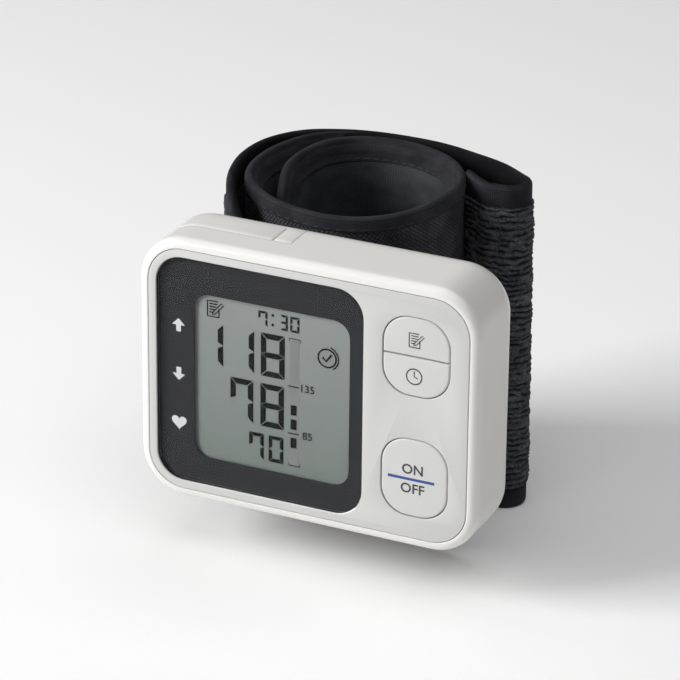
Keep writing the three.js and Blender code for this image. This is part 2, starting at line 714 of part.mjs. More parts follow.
function pumpHead() {
  const body = rodZ(HEAD_R, HEAD_Z, HEAD_Z + HEAD_L, PUMP_X, PUMP_Y, 28);
  const cavity = rodZ(HEAD_R - HEAD_WALL, HEAD_Z - 1, HEAD_Z + HEAD_CAVITY, PUMP_X, PUMP_Y, 28);
  const left = PUMP_X - HEAD_R;
  const outlet = rodX(SPIGOT_R, left - SPIGOT_L, left + 1, PUMP_Y, AIR_Z);
  return join(cut(body, cavity), outlet);
}

// Manifold: a block with a spigot on each of its four sides
function airManifold() {
  const w = MANIFOLD_W / 2;
  const d = MANIFOLD_DEPTH / 2;
  const body = block(AIR_X - w, AIR_X + w, PUMP_Y - d, PUMP_Y + d, AIR_Z - w, AIR_Z + w);
  const reach = w + SPIGOT_L;
  return join(
    body,
    rodX(SPIGOT_R, AIR_X - reach, AIR_X + reach, PUMP_Y, AIR_Z),
    rodZ(SPIGOT_R, AIR_Z - reach, AIR_Z + reach, AIR_X, PUMP_Y, 16),
  );
}

function pressureSensor() {
  const half = SENSOR_W / 2;
  const front = BOARD_BACK + FIT;
  const body = block(
    AIR_X - half,
    AIR_X + half,
    front,
    front + SENSOR_DEPTH,
    SENSOR_Z,
    SENSOR_Z + SENSOR_H,
  );
  return join(body, rodZ(SPIGOT_R, SENSOR_Z - SPIGOT_L, SENSOR_Z + 1, AIR_X, PUMP_Y, 16));
}

function releaseValve() {
  const body = rodZ(VALVE_R, VALVE_Z, VALVE_TOP, AIR_X, PUMP_Y);
  const port = rodZ(SPIGOT_R, VALVE_TOP - 1, VALVE_TOP + SPIGOT_L, AIR_X, PUMP_Y, 16);
  const depth = VALVE_PLUNGER_L - VALVE_SHOWS + VALVE_STROKE + SEAM;
  const bore = rodZ(VALVE_PLUNGER_D / 2 + RUNNING_GAP, 0, VALVE_Z + depth, AIR_X, PUMP_Y);
  return cut(join(body, port), bore);
}

function valvePlunger() {
  const foot = VALVE_Z - VALVE_SHOWS;
  return rodZ(VALVE_PLUNGER_D / 2, foot, foot + VALVE_PLUNGER_L, AIR_X, PUMP_Y);
}

// A soft air tube pushed over the spigots at both ends
function airTube(points, steps) {
  const wall = new THREE.Shape(circlePoints(TUBE_R, 10));
  wall.holes.push(new THREE.Path(circlePoints(TUBE_BORE, 10)));
  const extrudePath = new THREE.CatmullRomCurve3(points.map((p) => new THREE.Vector3(...p)));
  return solid(new THREE.ExtrudeGeometry(wall, { steps, extrudePath, bevelEnabled: false }));
}

const MANIFOLD_REACH = MANIFOLD_W / 2 + FIT;
const tubeRoutes = {
  pump_tube: [
    [PUMP_X - HEAD_R - SEAM, PUMP_Y, AIR_Z],
    [AIR_X + MANIFOLD_REACH, PUMP_Y, AIR_Z],
  ],
  sensor_tube: [
    [AIR_X, PUMP_Y, AIR_Z + MANIFOLD_REACH],
    [AIR_X, PUMP_Y, SENSOR_Z - FIT],
  ],
  valve_tube: [
    [AIR_X, PUMP_Y, VALVE_TOP + FIT],
    [AIR_X, PUMP_Y, AIR_Z - MANIFOLD_REACH],
  ],
  cuff_tube: [
    [AIR_X - MANIFOLD_REACH, PUMP_Y, AIR_Z],
    [AIR_X - MANIFOLD_REACH - SPIGOT_L, PUMP_Y, AIR_Z],
    [NIPPLE_X + TUBE_R, PUMP_Y + TUBE_R / 2, AIR_Z],
    [NIPPLE_X, REAR_INNER - 1.4 * TUBE_R, AIR_Z],
    [NIPPLE_X, REAR_INNER - FIT, AIR_Z],
  ],
};

// The nipple carries air through the case back, the band and the ring into the bladder
function airNipple() {
  const front = REAR_INNER - TUBE_R / 2;
  const back = front + NIPPLE_L;
  const wall = rodY(SPIGOT_R, front, back, NIPPLE_X, AIR_Z);
  return cut(wall, rodY(NIPPLE_BORE, front - 1, back + 1, NIPPLE_X, AIR_Z, 12));
}

// Cuff paths seen from above: X from the case's middle, Y behind the case's back.
// The band leaves its sewn end behind the case, turns round the left and runs along the back.
const bandPath = [
  [FIXED_END, BAND_Y],
  [10, BAND_Y],
  [-12, BAND_Y],
  [-23.5, BAND_Y + 0.5],
  [-29.2, 4.4],
  [-32.2, 9.8],
  [-35.2, 17.5],
  [-37.1, 27],
  [-36.2, 36.5],
  [-31.5, 44.2],
  [-24.4, 48.6],
  [-16.2, 50.8],
  [-2, 51.1],
  [8.6, 48.5],
  [15.8, 45.9],
];
// The padded ring starts against the band at the back left, runs down the left, along the
// front, round the right and the back, and ends free inside itself.
const ringPath = [
  [-31.8, 36.5],
  [-33.3, 29.2],
  [-32.8, 22.6],
  [-30.4, 16.6],
  [-26, 12],
  [-20, 8],
  [-13.5, 5.8],
  [-7, 5.05],
  [-0.5, 6.8],
  [5, 11.8],
  [8.6, 20],
  [9.4, 29],
  [7.5, 37],
  [3, 43],
  [-4, 46.6],
  [-11.5, 47.4],
  [-18.5, 45.6],
  [-23.5, 41],
  [-25.4, 34],
  [-25.2, 26.5],
  [-23.6, 20],
  [-21.6, 16],
];
const foldPoint = (degrees, radius = FOLD_R) => {
  const angle = THREE.MathUtils.degToRad(degrees);
  return [FOLD_X + radius * Math.cos(angle), FOLD_Y + radius * Math.sin(angle)];
};
const foldGapAngle = THREE.MathUtils.radToDeg(FOLD_GAP / FOLD_R);
const FOLD_END = -90; // degrees, where the fold runs into the strap's free flap
const flapPath = [
  [FOLD_X - FOLD_GAP, FOLD_Y - FOLD_R],
  [FOLD_X - 2.6, FOLD_Y - 4.2],
  [FOLD_X - 5.6, FOLD_Y - 2.4],
  [FOLD_X - 9.4, FOLD_Y + 1.4],
];

function cuffCurve(points) {
  const spots = points.map(([x, y]) => new THREE.Vector3(x, CASE_D + y, 0));
  const curve = new THREE.CatmullRomCurve3(spots, false, 'centripetal');
  curve.arcLengthDivisions = 600;
  return curve;
}

// Even stations along a curve, each with its outward normal, between two lengths
function stations(curve, from, to, count) {
  const length = curve.getLength();
  return Array.from({ length: count + 1 }, (_, k) => {
    const u = THREE.MathUtils.lerp(from, to, k / count) / length;
    const place = curve.getPointAt(u);
    const along = curve.getTangentAt(u);
    return { place, out: new THREE.Vector3(along.y, -along.x, 0), distance: u * length };
  });
}

// A cloth band: section corners are [distance outwards, height], carried through the stations.
// Lean gives the share of the fold's lean at each station.
function clothBand(line, section, lean = () => 0) {
  const rings = line.map(({ place, out, distance }) =>
    section.map(([reach, z]) => {
      const drop = (lean(distance) * (CUFF_TOP - z)) / CUFF_H;
      return [
        place.x + reach * out.x + drop * FOLD_LEAN_X,
        place.y + reach * out.y + drop * FOLD_LEAN_Y,
        z,
      ];
    }),
  );
  return closedLoft(rings, section.map(([reach, z]) => new THREE.Vector2(reach, z)));
}

// Section of a layer between two distances; crowns swell its outer and inner face at mid height
function layer(outer, inner, foot, top, outerCrown = 0, innerCrown = 0) {
  const levels = outerCrown || innerCrown ? [0, 0.16, 0.5, 0.84, 1] : [0, 1];
  const swell = (share) => Math.sin(Math.PI * share) ** 0.8;
  const height = (share) => THREE.MathUtils.lerp(foot, top, share);
  const outside = levels.map((share) => [outer - outerCrown * swell(share), height(share)]);
  const inside = levels.map((share) => [inner - innerCrown * swell(share), height(share)]);
  return [...outside, ...inside.reverse()];
}

const bandSection = layer(BAND_T / 2, -BAND_T / 2, CUFF_FOOT, CUFF_TOP);

// What is cut from the foot of the band's sewn end: a low step and the round of its corner
function fixedFoot() {
  const back = CASE_D + BAND_Y + BAND_T;
  const width = 2 * (FIXED_END - FIXED_SIDE);
  const shape = roundedShape(width, 4 * FIXED_FOOT, FIXED_FOOT);
  const step = plate(shape, CASE_D, back, FIXED_END, CUFF_FOOT - FIXED_FOOT);
  const x = FIXED_END - FIXED_ROUND;
  const z = CUFF_FOOT + FIXED_FOOT + FIXED_ROUND;
  const corner = block(x, FAR, CASE_D, back, CUFF_FOOT - 1, z);
  return [step, cut(corner, rodY(FIXED_ROUND, 0, FAR, x, z, 48))];
}

function outerBand() {
  const curve = cuffCurve([...bandPath, foldPoint(FOLD_START)]);
  const length = curve.getLength();
  const lean = (distance) =>
    THREE.MathUtils.smoothstep(distance, length - LEAN_RUN, length);
  const band = clothBand(stations(curve, 0, length - FOLD_GAP, 64), bandSection, lean);
  const shoulder = plate(
    roundedShape(2 * FIXED_END - bandPath[4][0], 4 * FIXED_TOP, FIXED_TOP),
    CASE_D,
    CASE_D + bandPath[4][1] + BAND_T,
    FIXED_END,
    CASE_H + FIXED_TOP,
  );
  const holes = mountScrews.map(([x, z]) => rodY(SCREW_D / 2 + SCREW_GAP, 0, FAR, x, z, 10));
  const bore = rodY(SPIGOT_R + SCREW_GAP, 0, CASE_D + BAND_Y + BAND_T, NIPPLE_X, AIR_Z, 10);
  const through = block(-FAR, FAR, CASE_D, CASE_D + BAND_Y + BAND_T, -FAR, FAR);
  const away = [shoulder, ...fixedFoot(), bore, ...holes.map((hole) => hole.intersect(through))];
  return cut(band, ...away);
}

function strapFold() {
  const turn = FOLD_START - foldGapAngle - FOLD_END;
  const line = Array.from({ length: 15 }, (_, k) => {
    const degrees = FOLD_START - foldGapAngle - (turn * k) / 14;
    const [x, y] = foldPoint(degrees);
    const out = new THREE.Vector3(x - FOLD_X, y - FOLD_Y, 0).normalize();
    return { place: new THREE.Vector3(x, CASE_D + y, 0), out, distance: 0 };
  });
  return clothBand(line, bandSection, () => 1);
}

const flapCurve = cuffCurve(flapPath);

function strapFlap() {
  return clothBand(stations(flapCurve, 0, flapCurve.getLength(), 12), bandSection, () => 1);
}

// Hook patch on the flap's inner face
function hookPatch() {
  const inner = BAND_T / 2 + CLOTH_GAP;
  const section = layer(inner + HOOK_T, inner, CUFF_FOOT + HOOK_EDGE, CUFF_TOP - HOOK_EDGE);
  const length = flapCurve.getLength();
  return clothBand(stations(flapCurve, length / 3, length - 1, 8), section, () => 1);
}

// The ring's layers from the outside in: cover, curler, bladder and lining
const ringCurve = cuffCurve(ringPath);
const COVER_IN = RING_T / 2 - SKIN_T;
const CURLER_OUT = COVER_IN - CLOTH_GAP;
const BLADDER_OUT = CURLER_OUT - CURLER_T - CLOTH_GAP;
const LINING_OUT = BLADDER_OUT - BLADDER_T - CLOTH_GAP;
const RING_STEPS = 52;

function ringLayer(section, from, to) {
  const length = ringCurve.getLength();
  const bore = rodY(SPIGOT_R + SCREW_GAP, 0, CASE_D + CUFF_H / 8, NIPPLE_X, AIR_Z, 10);
  const steps = Math.round((RING_STEPS * (length - from - to)) / length);
  return cut(clothBand(stations(ringCurve, from, length - to, steps), section), bore);
}

const ringCover = () => ringLayer(layer(RING_T / 2, COVER_IN, CUFF_FOOT, CUFF_TOP), 0, 0);

function ringCurler() {
  const foot = CUFF_FOOT + BLADDER_EDGE;
  const section = layer(CURLER_OUT, CURLER_OUT - CURLER_T, foot, CUFF_TOP - BLADDER_EDGE);
  return ringLayer(section, BLADDER_START, BLADDER_END);
}

function bladder() {
  const foot = CUFF_FOOT + BLADDER_EDGE;
  const top = CUFF_TOP - BLADDER_EDGE;
  const section = layer(BLADDER_OUT, BLADDER_OUT - BLADDER_T, foot, top, 0, PAD_CROWN);
  return ringLayer(section, BLADDER_START, BLADDER_END);
}

function ringLining() {
  const section = layer(
    LINING_OUT,
    LINING_OUT - SKIN_T,
    CUFF_FOOT,
    CUFF_TOP,
    PAD_CROWN + CLOTH_GAP,
    PAD_CROWN + CLOTH_GAP,
  );
  return clothBand(stations(ringCurve, 0, ringCurve.getLength(), RING_STEPS), section);
}

// The plate that clamps the band to the case's back
const MOUNT_FRONT = CASE_D + BAND_Y + BAND_T / 2 + SEAM;

function mountPlate() {
  const back = MOUNT_FRONT + MOUNT_T;
  const body = plate(roundedShape(MOUNT_W, MOUNT_H, MOUNT_CORNER), MOUNT_FRONT, back, MOUNT_X, FACE_Z);
  const holes = mountScrews.map(([x, z]) => rodY(SCREW_D / 2 + FIT, 0, FAR, x, z));
  return cut(body, ...holes);
}

// Assembly
const monitor = new THREE.Group();
const housing = new THREE.Group();
const insides = new THREE.Group();
const cuff = new THREE.Group();
monitor.add(housing, insides, cuff);

function add(group, name, body, material) {
  const mesh = new THREE.Mesh(surface(body), material);
  mesh.name = name;
  group.add(mesh);
}

add(housing, 'front_case', frontCase(), whitePlastic);
add(housing, 'rear_case', rearCase(), whitePlastic);
add(housing, 'battery_cover', batteryCover(), whitePlastic);
add(housing, 'face_panel', facePanel(), greyPanel);
add(housing, 'display_lens', plate(lensShape(), 0, LENS_T, BEZEL_X, FACE_Z), clearLens);
add(housing, 'display_mask', displayMask(), darkMask);
const split = KEY_SPLIT / 2;
add(housing, 'memory_key', key(UPPER_KEY_Z, UPPER_KEY_Z + split, FAR, switches.memory), greyPanel);
add(housing, 'clock_key', key(UPPER_KEY_Z, -FAR, UPPER_KEY_Z - split, switches.clock), greyPanel);
add(housing, 'start_key', key(START_KEY_Z, -FAR, FAR, switches.start), greyPanel);
caseScrews.forEach(([x, z], i) => {
  const body = screw(x, z, HEAD_SEAT + FIT, SCREW_L, SCREW_D, SCREW_HEAD_D, SCREW_HEAD_T);
  add(housing, `case_screw_${i + 1}`, body, steel);
});

add(insides, 'lcd_glass', plate(lcdShape(0), PANEL_T + LCD_DROP, LCD_BACK, WINDOW_X, FACE_Z), lcdGrey);
add(insides, 'lcd_holder', lcdHolder(), blackPlastic);
add(insides, 'zebra_strip', zebraStrip(0), rubber);
add(insides, 'main_board', mainBoard(), boardGreen);
const chip = CHIP_W / 2;
const chipBack = BOARD_BACK + FIT + CHIP_T;
add(
  insides,
  'controller_chip',
  block(CHIP_X - chip, CHIP_X + chip, BOARD_BACK + FIT, chipBack, CHIP_Z - chip, CHIP_Z + chip),
  blackPlastic,
);
boardScrews.forEach(([x, z], i) => {
  const length = BOARD_BACK - WALL_BACK - FUSE;
  const body = screw(x, z, BOARD_BACK + FIT, length, BOARD_SCREW_D, BOARD_HEAD_D, BOARD_HEAD_T);
  add(insides, `board_screw_${i + 1}`, body, steel);
});
Object.entries(switches).forEach(([name, z]) => {
  add(insides, `${name}_switch`, switchBody(z), blackPlastic);
  add(insides, `${name}_plunger`, switchPlunger(z), innerPlastic);
});

add(insides, 'battery_tray', batteryTray(), innerPlastic);
add(insides, 'battery_1', dryCell(cellX[0], true), cellWrap);
add(insides, 'battery_2', dryCell(cellX[1], false), cellWrap);
const plateFoot = BAY_FOOT + FIT;
const plateTop = BAY_TOP - FIT - CONTACT_T;
add(insides, 'contact_bridge', contactPlate(cellX[0], cellX[1], plateFoot), steel);
add(insides, 'contact_plus', contactPlate(cellX[0], cellX[0], plateTop), steel);
add(insides, 'contact_minus', contactPlate(cellX[1], cellX[1], plateTop), steel);
const springFoot = plateFoot + CONTACT_T + FIT / 2;
add(insides, 'contact_spring_1', contactSpring(cellX[0], springFoot, true), steel);
add(insides, 'contact_spring_2', contactSpring(cellX[1], plateTop - FIT / 2, false), steel);

add(insides, 'pump_motor', pumpMotor(), steel);
add(insides, 'pump_crank', pumpCrank(), steel);
add(insides, 'pump_head', pumpHead(), blackPlastic);
add(insides, 'air_manifold', airManifold(), innerPlastic);
add(insides, 'pressure_sensor', pressureSensor(), blackPlastic);
add(insides, 'release_valve', releaseValve(), steel);
add(insides, 'valve_plunger', valvePlunger(), steel);
Object.entries(tubeRoutes).forEach(([name, points]) => {
  add(insides, name, airTube(points, points.length > 2 ? 14 : 1), rubber);
});
add(insides, 'air_nipple', airNipple(), innerPlastic);

add(cuff, 'mount_plate', mountPlate(), blackPlastic);
mountScrews.forEach(([x, z], i) => {
  const seat = MOUNT_FRONT + MOUNT_T + FIT;
  const body = screw(x, z, seat, MOUNT_SCREW_L, SCREW_D, SCREW_HEAD_D, SCREW_HEAD_T);
  add(cuff, `mount_screw_${i + 1}`, body, steel);
});
add(cuff, 'outer_band', outerBand(), cuffCloth);
add(cuff, 'strap_fold', strapFold(), cuffCloth);
add(cuff, 'strap_flap', strapFlap(), cuffCloth);
add(cuff, 'hook_patch', hookPatch(), cuffLining);
add(cuff, 'ring_cover', ringCover(), cuffLining);
add(cuff, 'ring_curler', ringCurler(), innerPlastic);
add(cuff, 'ring_bladder', bladder(), rubber);
add(cuff, 'ring_lining', ringLining(), cuffLining);

// The origin is at the middle of the part's foot
const bounds = new THREE.Box3().setFromObject(monitor);
const middle = bounds.getCenter(new THREE.Vector3());
monitor.position.set(-middle.x, -middle.y, -bounds.min.z);

export default monitor;
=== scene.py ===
# %% [markdown]
# # Dressing a wrist blood pressure monitor
# The frame is a packed set of solids that a physics model also moves. This notebook leaves
# those solids where they are and dresses them: smooth case shells, a display that can be
# read, three keys, and a sewn cloth cuff. The first cell loads the frame and keeps its box,
# because no later piece may grow past it.

# %% Load the frame
import json
import math

import bmesh
import bpy
import numpy as np
from mathutils import Matrix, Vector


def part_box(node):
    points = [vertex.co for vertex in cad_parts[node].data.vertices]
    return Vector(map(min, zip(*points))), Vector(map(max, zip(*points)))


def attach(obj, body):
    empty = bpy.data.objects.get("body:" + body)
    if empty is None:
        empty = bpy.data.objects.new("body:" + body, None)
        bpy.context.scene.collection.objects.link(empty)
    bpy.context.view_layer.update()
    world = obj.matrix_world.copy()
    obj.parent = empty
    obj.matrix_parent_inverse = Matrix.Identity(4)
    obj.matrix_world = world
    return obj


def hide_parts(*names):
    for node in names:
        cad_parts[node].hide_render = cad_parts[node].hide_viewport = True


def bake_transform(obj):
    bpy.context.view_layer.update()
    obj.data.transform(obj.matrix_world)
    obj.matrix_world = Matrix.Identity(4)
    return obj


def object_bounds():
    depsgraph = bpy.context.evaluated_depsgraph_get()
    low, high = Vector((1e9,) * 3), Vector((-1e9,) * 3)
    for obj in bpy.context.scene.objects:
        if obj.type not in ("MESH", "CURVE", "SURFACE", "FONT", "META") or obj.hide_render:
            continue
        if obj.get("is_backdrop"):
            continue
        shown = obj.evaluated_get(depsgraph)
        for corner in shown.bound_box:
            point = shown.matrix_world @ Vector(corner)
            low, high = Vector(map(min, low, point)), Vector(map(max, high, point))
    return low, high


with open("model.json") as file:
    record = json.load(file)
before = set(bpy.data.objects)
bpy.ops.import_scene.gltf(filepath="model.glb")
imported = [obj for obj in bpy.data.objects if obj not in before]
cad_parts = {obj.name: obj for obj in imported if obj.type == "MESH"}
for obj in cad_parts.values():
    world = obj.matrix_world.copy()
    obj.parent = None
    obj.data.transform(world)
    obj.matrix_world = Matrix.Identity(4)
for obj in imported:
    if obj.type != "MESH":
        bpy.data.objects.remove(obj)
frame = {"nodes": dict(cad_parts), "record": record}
nodes = frame["nodes"]
cad_low, cad_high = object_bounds()
print("solids:", len(nodes), "box in mm:", [round(1000 * x, 1) for x in cad_high - cad_low])

# %% [markdown]
# ## Working in the case's own millimetres
# A maker measures this object from its face: X to the right, Y into the case, Z up from the
# case's underside. The frame is in metres about another origin, so one function carries a
# whole array of millimetre points into it. The case's sizes are read from the solids.

# %% Millimetres on the case
MM = 0.001
case_low, case_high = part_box("front_case")
FACE = np.array([(case_low.x + case_high.x) / 2, case_low.y, case_low.z])


def placed(points):
    """Frame metres: the face's origin plus a thousandth of the millimetres."""
    return FACE + MM * np.asarray(points, float)


def span(node):
    """Low and high corner of a solid, in case millimetres."""
    low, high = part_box(node)
    return (np.array(low) - FACE) / MM, (np.array(high) - FACE) / MM


CASE_W, _, CASE_H = span("front_case")[1] - span("front_case")[0]
CASE_D = span("rear_case")[1][1]
MIDDLE_Z = CASE_H / 2
print(f"case {CASE_W:.1f} x {CASE_H:.1f} x {CASE_D:.1f} mm")

# %% [markdown]
# ## From a grid of points to a piece
# Every new surface is a grid: rows and columns of points worked out at once. Poles and seams
# repeat their points, and merging the doubles closes them. Normals are then turned outwards,
# and edges sharper than a limit stay crisp while the rest is shaded smooth.

# %% Grid helpers
def grid_faces(rows, columns, round_rows=False, round_columns=False):
    """Quads between neighbouring points; a round direction joins its last line to its first."""
    i = np.arange(rows if round_rows else rows - 1)
    j = np.arange(columns if round_columns else columns - 1)
    a, b = np.meshgrid(i, j, indexing="ij")
    below, beside = (a + 1) % rows, (b + 1) % columns
    corners = [a * columns + b, a * columns + beside, below * columns + beside, below * columns + b]
    return np.stack(corners, -1).reshape(-1, 4)


def new_object(name, data):
    """An object for that data, linked into the scene."""
    made = bpy.data.objects.new(name, data)
    bpy.context.scene.collection.objects.link(made)
    return made


def shade(mesh, sharp):
    """Smooth shading, with edges sharper than that many degrees left crisp."""
    mesh.shade_smooth()
    mesh.set_sharp_from_angle(angle=math.radians(sharp))


def make_piece(name, points, faces, finish, sharp=40, cloth=None):
    """A mesh object at the origin from case millimetres; cloth is a place on the fabric per point."""
    mesh = bpy.data.meshes.new(name)
    mesh.from_pydata(placed(points).reshape(-1, 3).tolist(), [], faces)
    if cloth is not None:
        corner = np.empty(len(mesh.loops), int)
        mesh.loops.foreach_get("vertex_index", corner)
        laid = mesh.attributes.new("cloth", "FLOAT_VECTOR", "CORNER")
        laid.data.foreach_set("vector", np.asarray(cloth, float).reshape(-1, 3)[corner].ravel())
    shape = bmesh.new()
    shape.from_mesh(mesh)
    bmesh.ops.remove_doubles(shape, verts=shape.verts, dist=2e-6)
    bmesh.ops.dissolve_degenerate(shape, edges=shape.edges, dist=1e-7)
    bmesh.ops.recalc_face_normals(shape, faces=shape.faces)
    shape.to_mesh(mesh)
    shape.free()
    shade(mesh, sharp)
    mesh.materials.append(finish)
    return new_object(name, mesh)


def make_surface(name, grid, finish, round_rows=False, round_columns=False, keep=None, **more):
    """A piece from a grid of points; keep marks the quads that stay."""
    faces = grid_faces(*grid.shape[:2], round_rows, round_columns)
    if keep is not None:
        faces = faces[keep.ravel()]
    return make_piece(name, grid, faces.tolist(), finish, **more)


def report(piece, body, *solids, slot=None):
    """The piece rides its body, stands for its solids and says what was made."""
    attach(piece, body)
    if solids:
        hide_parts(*solids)
    low, high = np.array(piece.bound_box).min(0), np.array(piece.bound_box).max(0)
    print(piece.name, "faces:", len(piece.data.polygons), "mm:", np.round((high - low) / MM, 1))
    return piece


print("quads between 3 by 4 points:", len(grid_faces(3, 4)))

# %% [markdown]
# ## Finishes as node groups
# Two effects come back in many materials: the faint unevenness of moulded plastic and the
# threads of woven cloth. Each is built once as a node group that gives out a tone and a
# height, and every material places it with its own values. The shader itself stays in the
# material, where its plain numbers are set directly.

# %% Nodes and groups
def add_node(tree, kind, inputs=None, **settings):
    """One shader node; inputs are numbers, colours or sockets to link."""
    made = tree.nodes.new(kind)
    for key, value in settings.items():
        setattr(made, key, value)
    for key, value in (inputs or {}).items():
        if isinstance(value, bpy.types.NodeSocket):
            tree.links.new(value, made.inputs[key])
        else:
            made.inputs[key].default_value = value
    return made


def cloudy(tree, place, scale, detail=2.0):
    """Noise between 0 and 1 at a place."""
    inputs = {"Vector": place, "Scale": scale, "Detail": detail}
    return add_node(tree, "ShaderNodeTexNoise", inputs).outputs["Fac"]


def new_group(name, ins, outs):
    """An empty shader group with named float or vector inputs and float outputs."""
    group = bpy.data.node_groups.new(name, "ShaderNodeTree")
    for label, value in ins.items():
        kind = "NodeSocketVector" if value is None else "NodeSocketFloat"
        socket = group.interface.new_socket(label, in_out="INPUT", socket_type=kind)
        if value is not None:
            socket.default_value = value
    for label in outs:
        group.interface.new_socket(label, in_out="OUTPUT", socket_type="NodeSocketFloat")
    return group, group.nodes.new("NodeGroupInput").outputs, group.nodes.new("NodeGroupOutput").inputs


print("node groups that came with the frame:", len(bpy.data.node_groups))


# %% Moulded grain
def moulded_grain():
    """Tone is a slow noise over centimetres; height is a fine noise of the mould's texture."""
    group, given, out = new_group("moulded_grain", {"Vector": None, "Fineness": 900.0}, ["Tone", "Height"])
    group.links.new(cloudy(group, given["Vector"], 38.0, 1.0), out["Tone"])
    group.links.new(cloudy(group, given["Vector"], given["Fineness"]), out["Height"])
    return group


grain_group = moulded_grain()
print("group:", grain_group.name)


# %% Woven threads
def calc(tree, operation, *values):
    """The result of one sum on numbers or sockets."""
    return add_node(tree, "ShaderNodeMath", dict(enumerate(values)), operation=operation).outputs[0]


def split_axes(tree, place):
    """The X, Y and Z of a place."""
    return add_node(tree, "ShaderNodeSeparateXYZ", {0: place}).outputs


def wave(tree, place, pitch):
    """Sine of half a turn for every pitch."""
    return calc(tree, "SINE", calc(tree, "MULTIPLY", calc(tree, "DIVIDE", place, pitch), math.pi))


def woven_threads():
    """Plain weave: two sets of round threads, |sin| along each way, that take turns on top."""
    inputs = {"Vector": None, "Pitch": 0.5, "Slant": 0.0}
    group, given, out = new_group("woven_threads", inputs, ["Tone", "Height"])
    slanted = {"Vector": given["Vector"], "Angle": given["Slant"]}
    turned = add_node(group, "ShaderNodeVectorRotate", slanted, rotation_type="Z_AXIS")
    axes = split_axes(group, turned.outputs[0])
    waves = [wave(group, axes[axis], given["Pitch"]) for axis in "XY"]
    on_top = calc(group, "GREATER_THAN", calc(group, "MULTIPLY", *waves), 0.0)
    first, second = [calc(group, "ABSOLUTE", one) for one in waves]
    height = add_node(group, "ShaderNodeMix", {"Factor": on_top, "A": first, "B": second})
    group.links.new(height.outputs["Result"], out["Height"])
    group.links.new(cloudy(group, given["Vector"], 0.16, 4.0), out["Tone"])
    return group


weave_group = woven_threads()
print("group:", weave_group.name)


# %% Shader helpers
def new_finish(name, **sockets):
    """A material whose Principled shader has these plain numbers on its own sockets."""
    material = bpy.data.materials.new(name)
    material.use_nodes = True
    shader = material.node_tree.nodes["Principled BSDF"]
    for label, value in sockets.items():
        shader.inputs[label.replace("_", " ")].default_value = value
    return material, material.node_tree, shader


def dress(tree, shader, **sockets):
    """Links values that change over the surface to the shader's sockets."""
    for label, value in sockets.items():
        tree.links.new(value, shader.inputs[label.replace("_", " ")])


def blend_colours(tree, factor, first, second):
    """A colour between two, by a factor that changes over the surface."""
    inputs = {"Factor": factor, 6: (*first, 1), 7: (*second, 1)}
    return add_node(tree, "ShaderNodeMix", inputs, data_type="RGBA").outputs[2]


def ranged(tree, value, source=(0.0, 1.0), target=(0.0, 1.0)):
    """A value carried from a source range to a target range."""
    labels = ("Value", "From Min", "From Max", "To Min", "To Max")
    inputs = dict(zip(labels, (value, *source, *target)))
    return add_node(tree, "ShaderNodeMapRange", inputs).outputs["Result"]


def raise_surface(tree, shader, height, depth_mm):
    """A bump of that depth on the shader's normal."""
    inputs = {"Height": height, "Distance": depth_mm * MM, "Strength": 1.0}
    dress(tree, shader, Normal=add_node(tree, "ShaderNodeBump", inputs).outputs["Normal"])


print("materials that came with the frame:", len(bpy.data.materials))


# %% Plastic from the grain
def object_place(tree):
    """The place on the piece, in its own metres."""
    return add_node(tree, "ShaderNodeTexCoord").outputs["Object"]


def moulded(name, light, dark, rough=(0.3, 0.4), depth=0.02, fineness=900.0, **sockets):
    """Moulded plastic: two close tones and two close roughnesses, with the mould's grain."""
    material, tree, shader = new_finish(name, **sockets)
    inputs = {"Vector": object_place(tree), "Fineness": fineness}
    grain = add_node(tree, "ShaderNodeGroup", inputs, node_tree=grain_group).outputs
    gloss = ranged(tree, grain["Tone"], (0.1, 0.9), rough)
    dress(tree, shader, Base_Color=blend_colours(tree, grain["Tone"], light, dark), Roughness=gloss)
    raise_surface(tree, shader, grain["Height"], depth)
    return material


print("plastics use the group", grain_group.name)


# %% Cloth from the threads
def cloth_place(tree):
    """The place on the cloth: millimetres along it, millimetres up it, and a loft."""
    return add_node(tree, "ShaderNodeAttribute", attribute_name="cloth").outputs["Vector"]


def woven(name, light, dark, pitch, depth, slant=0, finer=1, tops=(0.22, 0.62), inner=None, **sockets):
    """Woven cloth: random tone, with painted shade in the gaps between threads, finer across by a factor, and
    painted shade on its inner side.
    """
    material, tree, shader = new_finish(name, **sockets)
    place = cloth_place(tree)
    drawn = add_node(tree, "ShaderNodeVectorMath", {0: place, 1: (1, finer, 1)}, operation="MULTIPLY")
    inputs = {"Vector": drawn.outputs[0], "Pitch": pitch, "Slant": math.radians(slant)}
    weave = add_node(tree, "ShaderNodeGroup", inputs, node_tree=weave_group).outputs
    # Painted shade: thread tops lighter than the gaps between them, over a random tone
    lit = ranged(tree, calc(tree, "MULTIPLY", weave["Height"], weave["Tone"]), tops)
    colour = blend_colours(tree, lit, dark, light)
    # Painted shade: an inner share below one darkens the cloth where its loft is -1, on its inner side
    if inner is not None:
        share = ranged(tree, split_axes(tree, place)["Z"], (-1.0, 1.0), (inner, 1.0))
        scaled = add_node(tree, "ShaderNodeVectorMath", {0: colour, "Scale": share}, operation="SCALE")
        colour = scaled.outputs[0]
    dress(tree, shader, Base_Color=colour)
    raise_surface(tree, shader, weave["Height"], depth)
    return material


print("cloths use the group", weave_group.name)

# %% [markdown]
# ## The case outline
# Seen from the front the case is a rectangle with round corners. Each station of the outline
# is a corner centre and a direction, so pulling the outline in by any inset is one line of
# arithmetic. The outline is kept as a left and a right half, because the battery cover takes
# the left rear corner of the case.

# %% Outline halves
CORNER = 10.4
COVER_EDGE = span("battery_cover")[1][0]
COVER_FRONT = span("battery_cover")[0][1]
SEAM = 0.25
# Two more stations beside each corner keep the flats flat when shaded smooth
FAR, NEAR = 5, 0.7


